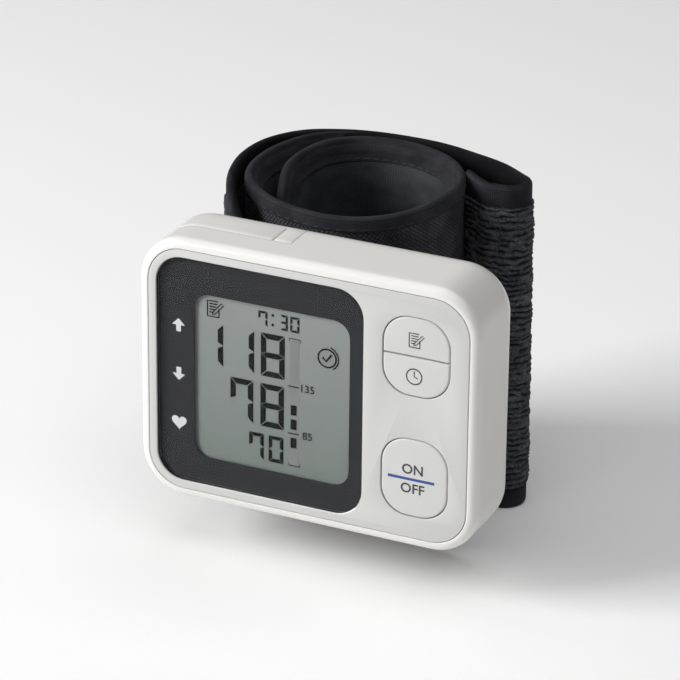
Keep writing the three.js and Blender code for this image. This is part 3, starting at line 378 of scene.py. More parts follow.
def half_outline(side, cut_x, marks=(), steps=14):
    """Half of the outline, anticlockwise from the cut: straight marks, corner, side, corner, marks."""
    hx, hz = CASE_W / 2 - CORNER, CASE_H / 2 - CORNER
    straight = np.array([cut_x, *marks, side * (hx - FAR), side * (hx - NEAR)])
    upright = -side * np.array([hz - NEAR, hz - FAR, 0, FAR - hz, NEAR - hz])
    first, last = np.radians([[90, 180], [180, 270]] if side < 0 else [[270, 360], [0, 90]])
    held = np.full(len(upright), first[1])
    turns = np.concatenate([np.linspace(*first, steps), held, np.linspace(*last, steps)])
    level = np.concatenate([np.full(steps, -side * hz), upright, np.full(steps, side * hz)])
    ones = np.ones_like(straight)
    centres = np.concatenate(
        [
            np.stack([straight, -side * hz * ones], -1),
            np.stack([np.full(len(level), side * hx), level], -1),
            np.stack([straight[::-1], side * hz * ones], -1),
        ]
    )
    ways = np.concatenate(
        [
            np.stack([0 * ones, -side * ones], -1),
            np.stack([np.cos(turns), np.sin(turns)], -1),
            np.stack([0 * ones, side * ones], -1),
        ]
    )
    return centres, ways


def carried(centres, ways, inset, depth):
    """Profile carried round the outline: corner centre plus (radius - inset) times the way."""
    reach = (CORNER - inset)[..., None] * ways[:, None, :]
    flat = centres[:, None, :] + reach
    return np.stack([flat[..., 0], np.broadcast_to(depth, inset.shape), MIDDLE_Z + flat[..., 1]], -1)


left_half = half_outline(-1, COVER_EDGE + SEAM)
right_half = half_outline(1, COVER_EDGE + SEAM)
print("outline stations:", len(left_half[0]) + len(right_half[0]))

# %% [markdown]
# ## The front shell
# The real shell is one moulding in glossy warm white: a rounded front edge, a narrow rim that
# frames the grey panel, and walls that end at the parting line. A closed profile is carried
# round the whole outline. On the left it stops early, where the battery cover begins.

# %% White plastic
white_case = moulded(
    "white_case",
    (0.79, 0.78, 0.755),
    (0.775, 0.765, 0.74),
    rough=(0.25, 0.28),
    depth=0.003,
    Coat_Weight=0.15,
    Coat_Roughness=0.22,
)
print("finish:", white_case.name)

# %% Front shell
FRONT_ROUND = 2.0
BACK_ROUND = 6.6
RIM = 2.2
WALL = 1.6
FRONT_WALL = span("face_panel")[1][1] + 0.05
REAR_SPLIT = 17.5
COVER_SPLIT = COVER_FRONT - SEAM
EDGE = 0.16
LIP, LEDGE, LEDGE_DEEP = 0.14, 1.4, 1.3


def back_inset(depth):
    """How far the round back edge has pulled in: radius minus the half chord at that depth."""
    past = np.clip(depth - (CASE_D - BACK_ROUND), 0, BACK_ROUND)
    return BACK_ROUND - np.sqrt(BACK_ROUND**2 - past**2)


def arc(x, y, radius, start, end, steps):
    """Points on a circle from one angle in degrees to another."""
    turn = np.radians(np.linspace(start, end, steps))
    return x + radius * np.cos(turn), y + radius * np.sin(turn)


def front_profile(back):
    """Closed profile as insets and depths: outer wall, front round, rim, panel recess, inner wall."""
    side = np.linspace(back - EDGE, FRONT_ROUND, 16)
    front = arc(FRONT_ROUND, FRONT_ROUND, FRONT_ROUND, 180, 270, 10)
    lip = arc(RIM - LIP, LIP, LIP, 270, 360, 5)
    ledge, ledge_back = RIM + LEDGE, FRONT_WALL + LEDGE_DEEP
    inner = [RIM, ledge, ledge, WALL, WALL + back_inset(back)]
    inner_depth = [FRONT_WALL, FRONT_WALL, ledge_back, ledge_back, back]
    edge = back_inset(back) + EDGE * np.array([1, 0.29])
    edge_depth = back - EDGE * np.array([0, 0.29])
    inset = np.concatenate([edge, back_inset(side), front[0][1:], lip[0], inner])
    depth = np.concatenate([edge_depth, side, front[1][1:], lip[1], inner_depth])
    return inset, depth


half_backs = ((left_half, COVER_SPLIT), (right_half, REAR_SPLIT))
profiles = np.array([front_profile(back) for half, back in half_backs for _ in half[0]])
centres, ways = (np.concatenate(lines) for lines in zip(left_half, right_half))
shell_grid = carried(centres, ways, profiles[:, 0], profiles[:, 1])
front_shell = make_surface("front_shell", shell_grid, white_case, True, True, sharp=30)
report(front_shell, "monitor", "front_case", slot="white_plastic")

# %% [markdown]
# ## Rear shell and battery cover
# Both are open skins of the same rounded box. A skin is the profile of the back edge carried
# round half the outline, then drawn flat to the middle line. Solidify gives it the wall, and
# a small bevel breaks the parting edges so that they catch the light as mouldings do. Two
# slits in the cover free its springy latch tab.

# %% Open skins with a wall
SKIN_SHORT = 6


def back_skin(half, depths):
    """Rows along the side by depth, then round the back edge, then to a middle line short of the side."""
    bend = CASE_D - BACK_ROUND
    turn = np.radians(np.linspace(90, 0, 12))
    start = np.arccos(np.clip((max(depths[-1], bend) - bend) / BACK_ROUND, -1, 1))
    turn = turn[turn < start - 0.02]
    depth = np.concatenate([depths, bend + BACK_ROUND * np.cos(turn)])
    inset = np.broadcast_to(back_inset(depth), (len(half[0]), len(depth)))
    skin = carried(*half, inset, depth)
    middle = skin[:, -1:, :] * [1, 1, 0] + [0, 0, MIDDLE_Z]
    short = CASE_W / 2 - CORNER - SKIN_SHORT
    middle[..., 0] = np.clip(middle[..., 0], -short, short)
    return np.concatenate([skin, middle], axis=1)


def add_wall(piece, thickness, bevel):
    """Solidify inwards, then a narrow bevel on edges sharper than fifty degrees."""
    wall = piece.modifiers.new("wall", "SOLIDIFY")
    wall.thickness = thickness * MM
    wall.offset = -1
    wall.use_even_offset = True
    edge = piece.modifiers.new("edge", "BEVEL")
    edge.width = bevel * MM
    edge.segments = 2
    edge.limit_method = "ANGLE"
    edge.angle_limit = math.radians(50)


def settle(piece):
    """Puts the result of the modifiers into the mesh."""
    seen = piece.evaluated_get(bpy.context.evaluated_depsgraph_get())
    mesh = bpy.data.meshes.new_from_object(seen)
    piece.modifiers.clear()
    piece.data = mesh
    shade(mesh, 35)


print("wall of the skins:", WALL, "mm")

# %% Battery cover
TAB_SLIT = (COVER_EDGE - 4.0, COVER_EDGE - 4.4)
TAB_END = 15.6
cover_half = half_outline(-1, COVER_EDGE, TAB_SLIT)
cover_depths = np.array([COVER_FRONT, 9.6, 11.0, 12.6, 14.4, TAB_END])
cover_grid = back_skin(cover_half, cover_depths)
kept = np.ones((cover_grid.shape[0] - 1, cover_grid.shape[1] - 1), bool)
kept[1, : len(cover_depths) - 1] = False
cover_shell = make_surface("cover_shell", cover_grid, white_case, keep=kept, sharp=30)
add_wall(cover_shell, WALL, 0.14)
settle(cover_shell)
report(cover_shell, "cover", "battery_cover", slot="white_plastic")

# %% Rear shell with screw holes
rear_grid = back_skin(half_outline(1, COVER_EDGE + SEAM), np.array([REAR_SPLIT + SEAM]))
rear_shell = make_surface("rear_shell", rear_grid, white_case, sharp=30)
add_wall(rear_shell, WALL, 0.12)
settle(rear_shell)


def drill(piece, x, z, front, back, radius, steps=25):
    """Cuts a round hole along Y: a closed drum of two rings and two poles is subtracted."""
    turn = np.linspace(0, 2 * math.pi, steps)
    rings = np.array([[0, front], [radius, front], [radius, back], [0, back]])
    across, depth = rings[:, :1], np.broadcast_to(rings[:, 1:], (len(rings), steps))
    drum = np.stack([x + across * np.cos(turn), depth, z + across * np.sin(turn)], -1)
    tool = make_surface("drill", drum, white_case)
    hole = piece.modifiers.new("hole", "BOOLEAN")
    hole.object = tool
    hole.solver = "EXACT"
    settle(piece)
    bpy.data.objects.remove(tool)


HOLE_R = 2.1
HOLE_FROM = 18.2
for number in (1, 2, 3, 4):
    x, _, z = np.mean(span(f"case_screw_{number}"), axis=0)
    drill(rear_shell, x, z, HOLE_FROM, CASE_D + 1, HOLE_R)
report(rear_shell, "monitor", "rear_case", slot="white_plastic")

# %% [markdown]
# ## The grey face panel
# The panel is a flat satin plate with three openings: one for the display lens and two for
# the keys. A plate with holes is no simple grid, so its outlines become a filled flat curve
# with a rounded edge, which is turned into a mesh before it is put in place.

# %% Flat plates from outlines
def rounded_points(width, height, radius, x, z, steps=12):
    """A rounded rectangle seen from the front, anticlockwise: corner centre plus radius times the way."""
    turn = np.radians(np.linspace(0, 90, steps))[None, :] + np.radians([[0], [90], [180], [270]])
    sides = np.array([[1, 1], [-1, 1], [-1, -1], [1, -1]]) * [width / 2 - radius, height / 2 - radius]
    flat = sides[:, None, :] + radius * np.stack([np.cos(turn), np.sin(turn)], -1)
    return flat.reshape(-1, 2) + [x, z]


def stand_up(flat, middle):
    """A flat drawing (x, z, towards the viewer) stood up on the face at that depth."""
    return np.stack([flat[:, 0], middle - flat[:, 2], flat[:, 1]], -1)


def mesh_of(data, name):
    """The filled mesh of a curve or text, as points and faces."""
    draft = new_object(name, data)
    mesh = bpy.data.meshes.new_from_object(draft.evaluated_get(bpy.context.evaluated_depsgraph_get()))
    points = np.empty(3 * len(mesh.vertices))
    mesh.vertices.foreach_get("co", points)
    faces = [tuple(p.vertices) for p in mesh.polygons]
    bpy.data.objects.remove(draft)
    bpy.data.meshes.remove(mesh)
    return points.reshape(-1, 3), faces


def flat_plate(name, outlines, front, back, edge, finish):
    """A plate between two depths with rounded edges; the first outline is the rim, others are holes."""
    curve = bpy.data.curves.new(name, "CURVE")
    curve.dimensions = "2D"
    curve.fill_mode = "BOTH"
    curve.extrude = (back - front) / 2 - edge
    curve.bevel_depth = edge
    curve.bevel_resolution = 2
    curve.offset = -edge
    for outline in outlines:
        line = curve.splines.new("POLY")
        line.points.add(len(outline) - 1)
        line.points.foreach_set("co", np.pad(outline, ((0, 0), (0, 2))).ravel())
        line.use_cyclic_u = True
    points, faces = mesh_of(curve, name)
    return make_piece(name, stand_up(points, (front + back) / 2), faces, finish, sharp=30)


print("points round a rounded outline:", len(rounded_points(2, 2, 0.5, 0, 0)))

# %% Face panel
grey_panel = moulded(
    "grey_panel", (0.60, 0.60, 0.585), (0.57, 0.57, 0.555), rough=(0.4, 0.48), depth=0.012, fineness=2600.0
)
KEY_W, KEY_H, KEY_CORNER, KEY_GAP = 14.9, 17.6, 6.0, 0.2
START_KEY_Z = 16.2
UPPER_KEY_Z = CASE_H - START_KEY_Z
LENS_CORNER, LENS_GAP = 6.15, 0.15
PANEL_CORNER, PANEL_GROWTH, PANEL_EDGE = 7.95, 0.1, 0.14
lens_low, lens_high = span("display_lens")
panel_low, panel_high = span("face_panel")
KEY_X = np.mean(span("start_key"), axis=0)[0]
LENS_X = (lens_low[0] + lens_high[0]) / 2
panel_w, panel_h = (panel_high - panel_low)[[0, 2]]
lens_w, lens_h = (lens_high - lens_low)[[0, 2]]


def widened(width, height, corner, x, z, gap):
    """A rounded rectangle with a gap added all round."""
    return rounded_points(width + 2 * gap, height + 2 * gap, corner + gap, x, z)


panel_outlines = [
    widened(panel_w, panel_h, PANEL_CORNER, 0, MIDDLE_Z, PANEL_GROWTH),
    widened(lens_w, lens_h, LENS_CORNER, LENS_X, MIDDLE_Z, LENS_GAP),
    widened(KEY_W, KEY_H, KEY_CORNER, KEY_X, UPPER_KEY_Z, KEY_GAP),
    widened(KEY_W, KEY_H, KEY_CORNER, KEY_X, START_KEY_Z, KEY_GAP),
]
panel = flat_plate("panel_plate", panel_outlines, panel_low[1], panel_high[1], PANEL_EDGE, grey_panel)
report(panel, "monitor", "face_panel", slot="grey_panel")

# %% [markdown]
# ## Keys
# A key is a rubbery cap almost flush with the panel, with a soft round edge and a hint of a
# crown that a fingertip finds. Rays run from its middle to its outline, and the cap's
# profile is carried out along them. The upper outline holds two keys, parted by a thin line.

# %% Pressed plates
def ray_plate(name, outline, front, back, edge, crown, finish, sharp=35):
    """Rays from the middle: a crowned flat, a quarter-round edge, a straight side and a closed back."""
    middle = (outline.min(0) + outline.max(0)) / 2
    rays = outline - middle
    length = np.linalg.norm(rays, axis=1, keepdims=True)
    way = rays / length
    share = np.array([0, 0.3, 0.55, 0.75, 0.9, 1.0])
    turn = np.radians(np.linspace(0, 90, 7))[1:]
    flat_reach = share[None, :] * (length - edge)
    flat_depth = front - crown * (1 - share**2)
    edge_reach = length - edge * (1 - np.sin(turn))
    edge_depth = front + edge * (1 - np.cos(turn))
    reach = np.concatenate([flat_reach, edge_reach, length, 0 * length], axis=1)
    depth = np.concatenate([flat_depth, edge_depth, [back, back]])
    flat = middle + reach[..., None] * way[:, None, :]
    grid = np.stack([flat[..., 0], np.broadcast_to(depth, reach.shape), flat[..., 1]], -1)
    return make_surface(name, grid, finish, round_rows=True, sharp=sharp)


key_cap = moulded(
    "key_cap", (0.62, 0.62, 0.605), (0.59, 0.59, 0.575), rough=(0.42, 0.5), depth=0.01, fineness=3000.0
)
KEY_FRONT, KEY_BACK, KEY_EDGE, KEY_CROWN = 0.02, 3.8, 0.42, 0.1
KEY_PARTING = 0.15
whole_key = rounded_points(KEY_W, KEY_H, KEY_CORNER, KEY_X, UPPER_KEY_Z)
upper_cut, lower_cut = whole_key.copy(), whole_key.copy()
upper_cut[:, 1] = np.maximum(upper_cut[:, 1], UPPER_KEY_Z + KEY_PARTING)
lower_cut[:, 1] = np.minimum(lower_cut[:, 1], UPPER_KEY_Z - KEY_PARTING)
start_outline = rounded_points(KEY_W, KEY_H, KEY_CORNER, KEY_X, START_KEY_Z)
for key, outline in (("memory", upper_cut), ("clock", lower_cut), ("start", start_outline)):
    cap = ray_plate(f"{key}_cap", outline, KEY_FRONT, KEY_BACK, KEY_EDGE, KEY_CROWN, key_cap)
    report(cap, f"{key}_button", f"{key}_key", slot="grey_panel")

# %% [markdown]
# ## Display lens, mask and glass
# Behind a clear lens lies a charcoal mask, printed on its back, with a rounded window. The
# liquid crystal glass sits a little deeper, so the window's edge throws a soft shadow on it.
# The lens lets shadow rays through; without that a solid clear plate would darken what lies
# under it.

# %% Clear lens
lens_finish, lens_tree, lens_shader = new_finish(
    "clear_lens", Base_Color=(1, 1, 1, 1), Roughness=0.03, IOR=1.14, Transmission_Weight=1.0
)
smudge = cloudy(lens_tree, object_place(lens_tree), 60.0, 4.0)
dress(lens_tree, lens_shader, Roughness=ranged(lens_tree, smudge, (0.35, 0.8), (0.02, 0.08)))
clear = add_node(lens_tree, "ShaderNodeBsdfTransparent")
ray_kind = add_node(lens_tree, "ShaderNodeLightPath")
through = add_node(
    lens_tree,
    "ShaderNodeMixShader",
    {0: ray_kind.outputs["Is Shadow Ray"], 1: lens_shader.outputs[0], 2: clear.outputs[0]},
)
lens_tree.links.new(through.outputs[0], lens_tree.nodes["Material Output"].inputs["Surface"])
lens_outline = rounded_points(lens_w, lens_h, LENS_CORNER, LENS_X, MIDDLE_Z)
lens = ray_plate("lens_plate", lens_outline, lens_low[1], lens_high[1], 0.15, 0.0, lens_finish)
report(lens, "monitor", "display_lens", slot="clear_lens")

# %% Printed mask
mask_ink = moulded(
    "mask_ink",
    (0.0135, 0.0139, 0.0159),
    (0.012, 0.0124, 0.0142),
    rough=(0.5, 0.6),
    depth=0.01,
    fineness=3200.0,
    Specular_IOR_Level=0.12,
)
WINDOW_W, WINDOW_H, WINDOW_CORNER = 35.95, 37.9, 3.8
WINDOW_X, WINDOW_Z = -8.475, MIDDLE_Z - 0.9
mask_low, mask_high = span("display_mask")


def frame_plate(name, outer, inner, front, back, finish):
    """A flat frame: four lines of matched stations, outer and inner edge at front and back."""
    rows = [(outer, front), (inner, front), (inner, back), (outer, back)]
    grid = np.stack([np.insert(line, 1, depth, axis=1) for line, depth in rows])
    return make_surface(name, grid, finish, True, True, sharp=30)


window = rounded_points(WINDOW_W, WINDOW_H, WINDOW_CORNER, WINDOW_X, WINDOW_Z)
mask = frame_plate("mask_frame", lens_outline, window, mask_low[1], mask_high[1], mask_ink)
report(mask, "monitor", "display_mask", slot="dark_mask")

# %% Liquid crystal glass
lcd_finish, lcd_tree, lcd_shader = new_finish("lcd_glass", Roughness=0.4, Specular_IOR_Level=0.12)
lcd_place = object_place(lcd_tree)
window_ends = FACE[2] + MM * (WINDOW_Z + WINDOW_H * np.array([-0.5, 0.5]))
# Painted light: the glass is made lighter towards the top of the window, with a little random noise
lcd_painted_light = ranged(lcd_tree, split_axes(lcd_tree, lcd_place)["Z"], window_ends, (0.0, 0.8))
lcd_mix = calc(lcd_tree, "MULTIPLY_ADD", cloudy(lcd_tree, lcd_place, 2400.0, 1.0), 0.2, lcd_painted_light)
lcd_tone = blend_colours(lcd_tree, lcd_mix, (0.110, 0.128, 0.118), (0.180, 0.194, 0.188))
dress(lcd_tree, lcd_shader, Base_Color=lcd_tone)
lcd_low, lcd_high = span("lcd_glass")
lcd_outline = rounded_points(lcd_high[0] - lcd_low[0], lcd_high[2] - lcd_low[2], 1.0, WINDOW_X, MIDDLE_Z)
lcd = ray_plate("lcd_plate", lcd_outline, lcd_low[1], lcd_high[1], 0.1, 0.0, lcd_finish)
report(lcd, "monitor", "lcd_glass", slot="lcd")

# %% [markdown]
# ## What the display shows
# Digits are built from seven bars, mitred where they meet at a corner, with thin gaps between
# them, as on every such display. Each bar is a flat outline that becomes a low prism; the four
# uprights are one outline, mirrored. Icons are strokes: a rectangle section carried along a line.

# %% Prisms and strokes
def prism(outline, depths):
    """A flat outline given thickness: its points at two depths, two caps and a side wall."""
    count = len(outline)
    points = np.concatenate([np.insert(outline, 1, depth, axis=1) for depth in depths])
    ring = np.arange(count)
    after = (ring + 1) % count
    sides = np.stack([ring, after, after + count, ring + count], -1)
    return points, [tuple(ring), tuple(ring[::-1] + count), *map(tuple, sides)]


def stroke(line, width, depths, closed=False):
    """A drawn line: a rectangle section, half the width to each side, carried along it."""
    line = np.asarray(line, float)
    ahead = np.roll(line, -1, 0) - np.roll(line, 1, 0) if closed else np.gradient(line, axis=0)
    ahead /= np.linalg.norm(ahead, axis=1, keepdims=True)
    across = np.stack([-ahead[:, 1], ahead[:, 0]], -1) * width / 2
    left, right = line + across, line - across
    front, back = depths
    rows = [(left, front), (right, front), (right, back), (left, back)]
    points = np.stack([np.insert(edge, 1, depth, axis=1) for edge, depth in rows], 1)
    count = len(line)
    faces = grid_faces(count, 4, closed, True).tolist()
    if not closed:
        faces += [[0, 1, 2, 3], [4 * count - 1, 4 * count - 2, 4 * count - 3, 4 * count - 4]]
    return points.reshape(-1, 3), faces


def joined(name, shapes, finish, sharp=30):
    """Several small shapes as one piece: points in a row, faces counted on."""
    offsets = np.cumsum([0] + [len(points) for points, _ in shapes])
    starts = zip(shapes, offsets.tolist())
    faces = [[int(v) + start for v in face] for (_, some), start in starts for face in some]
    points = np.concatenate([some for some, _ in shapes])
    return make_piece(name, points, faces, finish, sharp=sharp)


def circle(x, z, radius, steps=28):
    """Points round a circle."""
    turn = np.linspace(0, 2 * math.pi, steps, endpoint=False)
    return np.stack([x + radius * np.cos(turn), z + radius * np.sin(turn)], -1)


def box_outline(x0, x1, z0, z1):
    """The four corners of an upright rectangle."""
    return np.array([[x0, z0], [x1, z0], [x1, z1], [x0, z1]])


print("faces of a square prism:", len(prism(box_outline(0, 1, 0, 1), (0, 1))[1]))

# %% Seven-bar digits
BARS_OF = {"0": "abcdef", "1": "bc", "3": "abcdg", "7": "abcf", "8": "abcdefg"}
INK = lcd_low[1] - 0.06, lcd_low[1] + 0.03


def digit(figure, x0, x1, z0, z1, thick, gap):
    """The lit bars of one digit in its box: mitred at the corners, pointed in the middle, with thin gaps."""
    mid, half = (z0 + z1) / 2, thick / 2
    near, far = x0 + thick + gap, x1 - thick - gap
    level = np.array([[x0 + gap, z1], [x1 - gap, z1], [far, z1 - thick], [near, z1 - thick]])
    inner, waist = x1 - thick, mid + half + gap / 2
    upright = np.array([[x1, z1 - gap], [x1, mid + gap / 2], [inner, waist], [inner, z1 - thick - gap]])
    upper = [[x0 + gap, mid], [near, mid + half], [far, mid + half]]
    lower = [[x1 - gap, mid], [far, mid - half], [near, mid - half]]
    across, over = np.array([x0 + x1, 0]), np.array([0, z0 + z1])
    left, down = np.array([-1, 1]), np.array([1, -1])
    bars = {
        "a": level,
        "b": upright,
        "c": over + down * upright,
        "d": over + down * level,
        "e": across + over - upright,
        "f": across + left * upright,
        "g": np.array(upper + lower),
    }
    return [prism(bars[bar], INK) for bar in BARS_OF[figure]]


print("bars of an eight:", len(digit("8", 0, 1, 0, 2, 0.2, 0.02)))

# %% Figures on the display
segment_ink = moulded(
    "segment_ink",
    (0.003, 0.0033, 0.0033),
    (0.005, 0.0053, 0.0053),
    rough=(0.5, 0.6),
    depth=0.002,
    Specular_IOR_Level=0.05,
)
# Each line: foot, top, thickness and gap of its bars, then its figures with their left and right
DIGIT_LINES = (
    (31.80, 41.70, 1.26, 0.14, (("1", -25.40, -19.96), ("1", -18.20, -12.76), ("8", -11.20, -5.67))),
    (20.10, 30.05, 1.26, 0.14, (("7", -18.28, -12.95), ("8", -11.27, -5.80))),
    (12.12, 18.25, 0.84, 0.08, (("7", -13.90, -10.46), ("0", -9.33, -5.88))),
    (43.10, 46.60, 0.50, 0.08, (("7", -11.79, -9.68), ("3", -6.75, -4.98), ("0", -4.42, -2.33))),
)
LIT_LEVELS = ((24.05, 26.37), (20.76, 23.05), (16.47, 18.79))
shown = []
for foot, top, thick, gap, figures in DIGIT_LINES:
    for figure, x0, x1 in figures:
        shown += digit(figure, x0, x1, foot, top, thick, gap)
shown += [prism(circle(-8.46, z, 0.32, 10), INK) for z in (43.85, 46.05)]
shown += [prism(box_outline(-4.23, -2.86, *ends), INK) for ends in LIT_LEVELS]
print("display shapes:", len(shown))


# %% Icons on the display
def note_icon(x, z, size, depths):
    """A sheet with lines and a pencil across it, about a middle, in strokes."""
    unit = size / 3.6

    def draw(points, width, closed=False):
        line = np.array(points, float) * unit + [x, z]
        return stroke(line, width * unit, depths, closed)

    sheet = draw([[0.9, 0.1], [0.9, -1.55], [-1.4, -1.55], [-1.4, 1.5], [0.7, 1.5]], 0.28)
    heights = (0.95, 0.4, -0.15, -0.7)
    lines = [draw([[-0.98, h], [-0.12 + 0.72 * (h + 0.7) / 1.65, h]], 0.24) for h in heights]
    pencil = draw([[-0.27, -0.6], [1.43, 1.3], [1.83, 0.94], [0.13, -0.96]], 0.2, True)
    tip = draw([[-0.27, -0.6], [-0.5, -1.22], [0.13, -0.96]], 0.2)
    return [sheet, *lines, pencil, tip]


TICK_Z = 38.76
shown += note_icon(-21.97, 44.85, 4.2, INK)
shown.append(stroke(circle(4.07, TICK_Z, 2.05), 0.36, INK, True))
shown.append(stroke([[3.05, 38.85], [3.8, 37.95], [5.1, 39.7]], 0.46, INK))
shown.append(stroke(np.stack(arc(4.0, TICK_Z, 2.68, -58, 72, 16), -1), 0.3, INK))
shown += [stroke([[-4.8, z], [-2.3, z]], 0.26, INK) for z in (30.66, 19.78)]
for end, inner in ((41.62, 40.9), (12.28, 13.0)):
    shown.append(stroke([[-4.65, inner], [-4.65, end], [-2.06, end], [-2.06, inner]], 0.18, INK))


def lettered(words, x, z, height, depths, bold):
    """Figures or words from the built-in font, middle at (x, z), capitals that high; bold widens strokes."""
    front, back = depths
    text = bpy.data.curves.new("words", "FONT")
    text.body = words
    text.align_x = "CENTER"
    text.align_y = "CENTER"
    text.size = height / 0.72
    text.extrude = (back - front) / 2
    text.offset = bold
    text.resolution_u = 3
    points, faces = mesh_of(text, "words")
    return stand_up(points + [x, z, 0], (front + back) / 2), faces


SCALE_H = 1.75
shown.append(lettered("135", -0.5, 30.59, SCALE_H, INK, 0.015))
shown.append(lettered("85", -0.33, 19.67, SCALE_H, INK, 0.012))
display_ink = joined("display_ink", shown, segment_ink)
report(display_ink, "monitor", slot="lcd")

# %% Grey level bar
bar_ink = moulded(
    "bar_ink",
    (0.125, 0.135, 0.13),
    (0.14, 0.15, 0.145),
    rough=(0.5, 0.6),
    depth=0.002,
    Specular_IOR_Level=0.1,
)
BAR_INK = INK[0] + 0.02, INK[1]
BAR_ENDS = ((12.6, 16.2), (18.9, 20.6), (23.3, 23.9), (26.6, 30.4), (31.2, 41.3))
bar_shapes = [prism(box_outline(-4.4, -2.3, *ends), BAR_INK) for ends in BAR_ENDS]
level_bar = joined("level_bar", bar_shapes, bar_ink)
report(level_bar, "monitor", slot="lcd")

# %% [markdown]
# ## Printed marks
# Printed signs say what each row and key is for: arrows up and down for the two pressures
# and a heart for the pulse on the mask, a note and a clock on the upper keys, and ON and OFF
# beside the blue line of the start key.

# %% Marks on the mask
white_ink = moulded("white_ink", (0.44, 0.45, 0.455), (0.4, 0.41, 0.415), rough=(0.45, 0.55), depth=0.003)
PRINT = mask_low[1] - 0.03, mask_low[1] + 0.05
SIGN_X = -30.1


def arrow(x, z, way):
    """An arrow's outline about its middle, up for +1 and down for -1."""
    shape = np.array([[0, 1.5], [1.5, 0], [0.55, 0], [0.55, -1.5], [-0.55, -1.5], [-0.55, 0], [-1.5, 0]])
    return shape * [1, way] + [x, z]


def heart(x, z, size):
    """The heart curve: sixteen sine cubed across, a sum of four cosines upwards."""
    t = np.linspace(0, 2 * math.pi, 40, endpoint=False)
    high = 13 * np.cos(t) - 5 * np.cos(2 * t) - 2 * np.cos(3 * t) - np.cos(4 * t)
    return np.stack([x + size * np.sin(t) ** 3, z + size * high / 16], -1)


mask_marks = [
    prism(arrow(SIGN_X, 39.9, 1), PRINT),
    prism(arrow(SIGN_X, 28.6, -1), PRINT),
    prism(heart(SIGN_X, 17.3, 1.75), PRINT),
]
report(joined("mask_marks", mask_marks, white_ink), "monitor", slot="dark_mask")

# %% Marks on the keys
dark_ink = moulded("dark_ink", (0.035, 0.036, 0.04), (0.05, 0.051, 0.055), rough=(0.5, 0.6), depth=0.003)
blue_ink = moulded("blue_ink", (0.022, 0.066, 0.25), (0.028, 0.08, 0.28), rough=(0.5, 0.6), depth=0.003)
KEY_INK = -0.095, 0.1
CLOCK_X, CLOCK_Z = 24.55, 39.5
WORD_X, WORD_H = 24.6, 2.25
memory_shapes = note_icon(24.75, 47.65, 3.7, KEY_INK)
clock_shapes = [
    stroke(circle(CLOCK_X, CLOCK_Z, 1.72), 0.28, KEY_INK, True),
    stroke([[CLOCK_X, 40.7], [CLOCK_X, CLOCK_Z], [25.35, 39.15]], 0.26, KEY_INK),
]
word_shapes = [lettered(word, WORD_X, z, WORD_H, KEY_INK, 0.05) for word, z in (("ON", 18.1), ("OFF", 13.7))]
line_shapes = [stroke([[19.0, 15.95], [29.5, 15.95]], 0.6, KEY_INK)]
for name, shapes, ink, body in (
    ("memory_marks", memory_shapes, dark_ink, "memory_button"),
    ("clock_marks", clock_shapes, dark_ink, "clock_button"),
    ("start_words", word_shapes, dark_ink, "start_button"),
    ("start_line", line_shapes, blue_ink, "start_button"),
):
    report(joined(name, shapes, ink), body, slot="dark_mask")

# %% [markdown]
# ## The cuff's paths
# Seen from above the cuff is a spiral. A pile band leaves the case's back, runs round the
# left side and along the back, and its end is folded back on itself at the right. Inside it
# lies a padded ring. Both follow smooth curves through a few points, given as X and as the
# distance behind the case's back. The folded end leans forward towards its foot.

# %% Smooth paths
def smooth_path(points, steps=40):
    """Centripetal curve: each span is a cubic whose end slopes weigh its neighbours by root distance."""
    p = np.asarray(points, float)
    p = np.vstack([2 * p[0] - p[1], p, 2 * p[-1] - p[-2]])
    gaps = np.sqrt(np.linalg.norm(np.diff(p, axis=0), axis=1))[:, None]
    a, b, c, d = p[:-3], p[1:-2], p[2:-1], p[3:]
    g0, g1, g2 = gaps[:-2], gaps[1:-1], gaps[2:]
    slope_b = ((b - a) / g0 - (c - a) / (g0 + g1) + (c - b) / g1) * g1
    slope_c = ((c - b) / g1 - (d - b) / (g1 + g2) + (d - c) / g2) * g1
    t = np.linspace(0, 1, steps, endpoint=False)[None, :, None]
    b, c, slope_b, slope_c = (v[:, None, :] for v in (b, c, slope_b, slope_c))
    curve = (2 * t**3 - 3 * t**2 + 1) * b + (t**3 - 2 * t**2 + t) * slope_b
    curve = curve + (3 * t**2 - 2 * t**3) * c + (t**3 - t**2) * slope_c
    return np.vstack([curve.reshape(-1, 2), p[-2]])


def lengths(path):
    """Length from the start to each point of a path."""
    return np.concatenate([[0], np.cumsum(np.linalg.norm(np.diff(path, axis=0), axis=1))])


def walk(path, s, side):
    """Places and outward normals at lengths s: the normal is the slope turned a quarter."""
    run = lengths(path)

    def at(where):
        where = np.clip(where, 0, run[-1])
        return np.stack([np.interp(where, run, path[:, k]) for k in (0, 1)], -1)

    ahead = at(s + 0.5) - at(s - 0.5)
    ahead /= np.linalg.norm(ahead, axis=1, keepdims=True)
    return at(s), side * np.stack([-ahead[:, 1], ahead[:, 0]], -1)


BAND_POINTS = [
    [32, 1.3], [10, 1.3], [-12, 1.3], [-23.5, 1.8], [-29.2, 4.4], [-32.5, 9.8], [-35.8, 17.5], [-37.8, 27],
    [-36.8, 36.5], [-31.8, 44.4], [-24.4, 48.6], [-16.2, 50.8], [-2, 51.1], [8.6, 48.5], [15.8, 45.9],
]
RING_POINTS = [
    [-18.6, 48.5], [-25, 45.75], [-29.0, 41.6], [-31.2, 36.5], [-32.5, 29.2], [-32.0, 22.6], [-29.7, 16.6],
    [-25.6, 12], [-20, 8], [-13.5, 5.8], [-7, 5.05], [-0.5, 6.8], [5, 11.8], [8.7, 20], [9.8, 29], [7.9, 37],
    [3, 43], [-4, 46.6], [-11.5, 47.4], [-18.5, 45.6], [-23.5, 41], [-25.4, 34], [-25.2, 26.5], [-23.6, 20],
    [-21.6, 16], [-19.2, 13.6], [-16.6, 12.1],
]
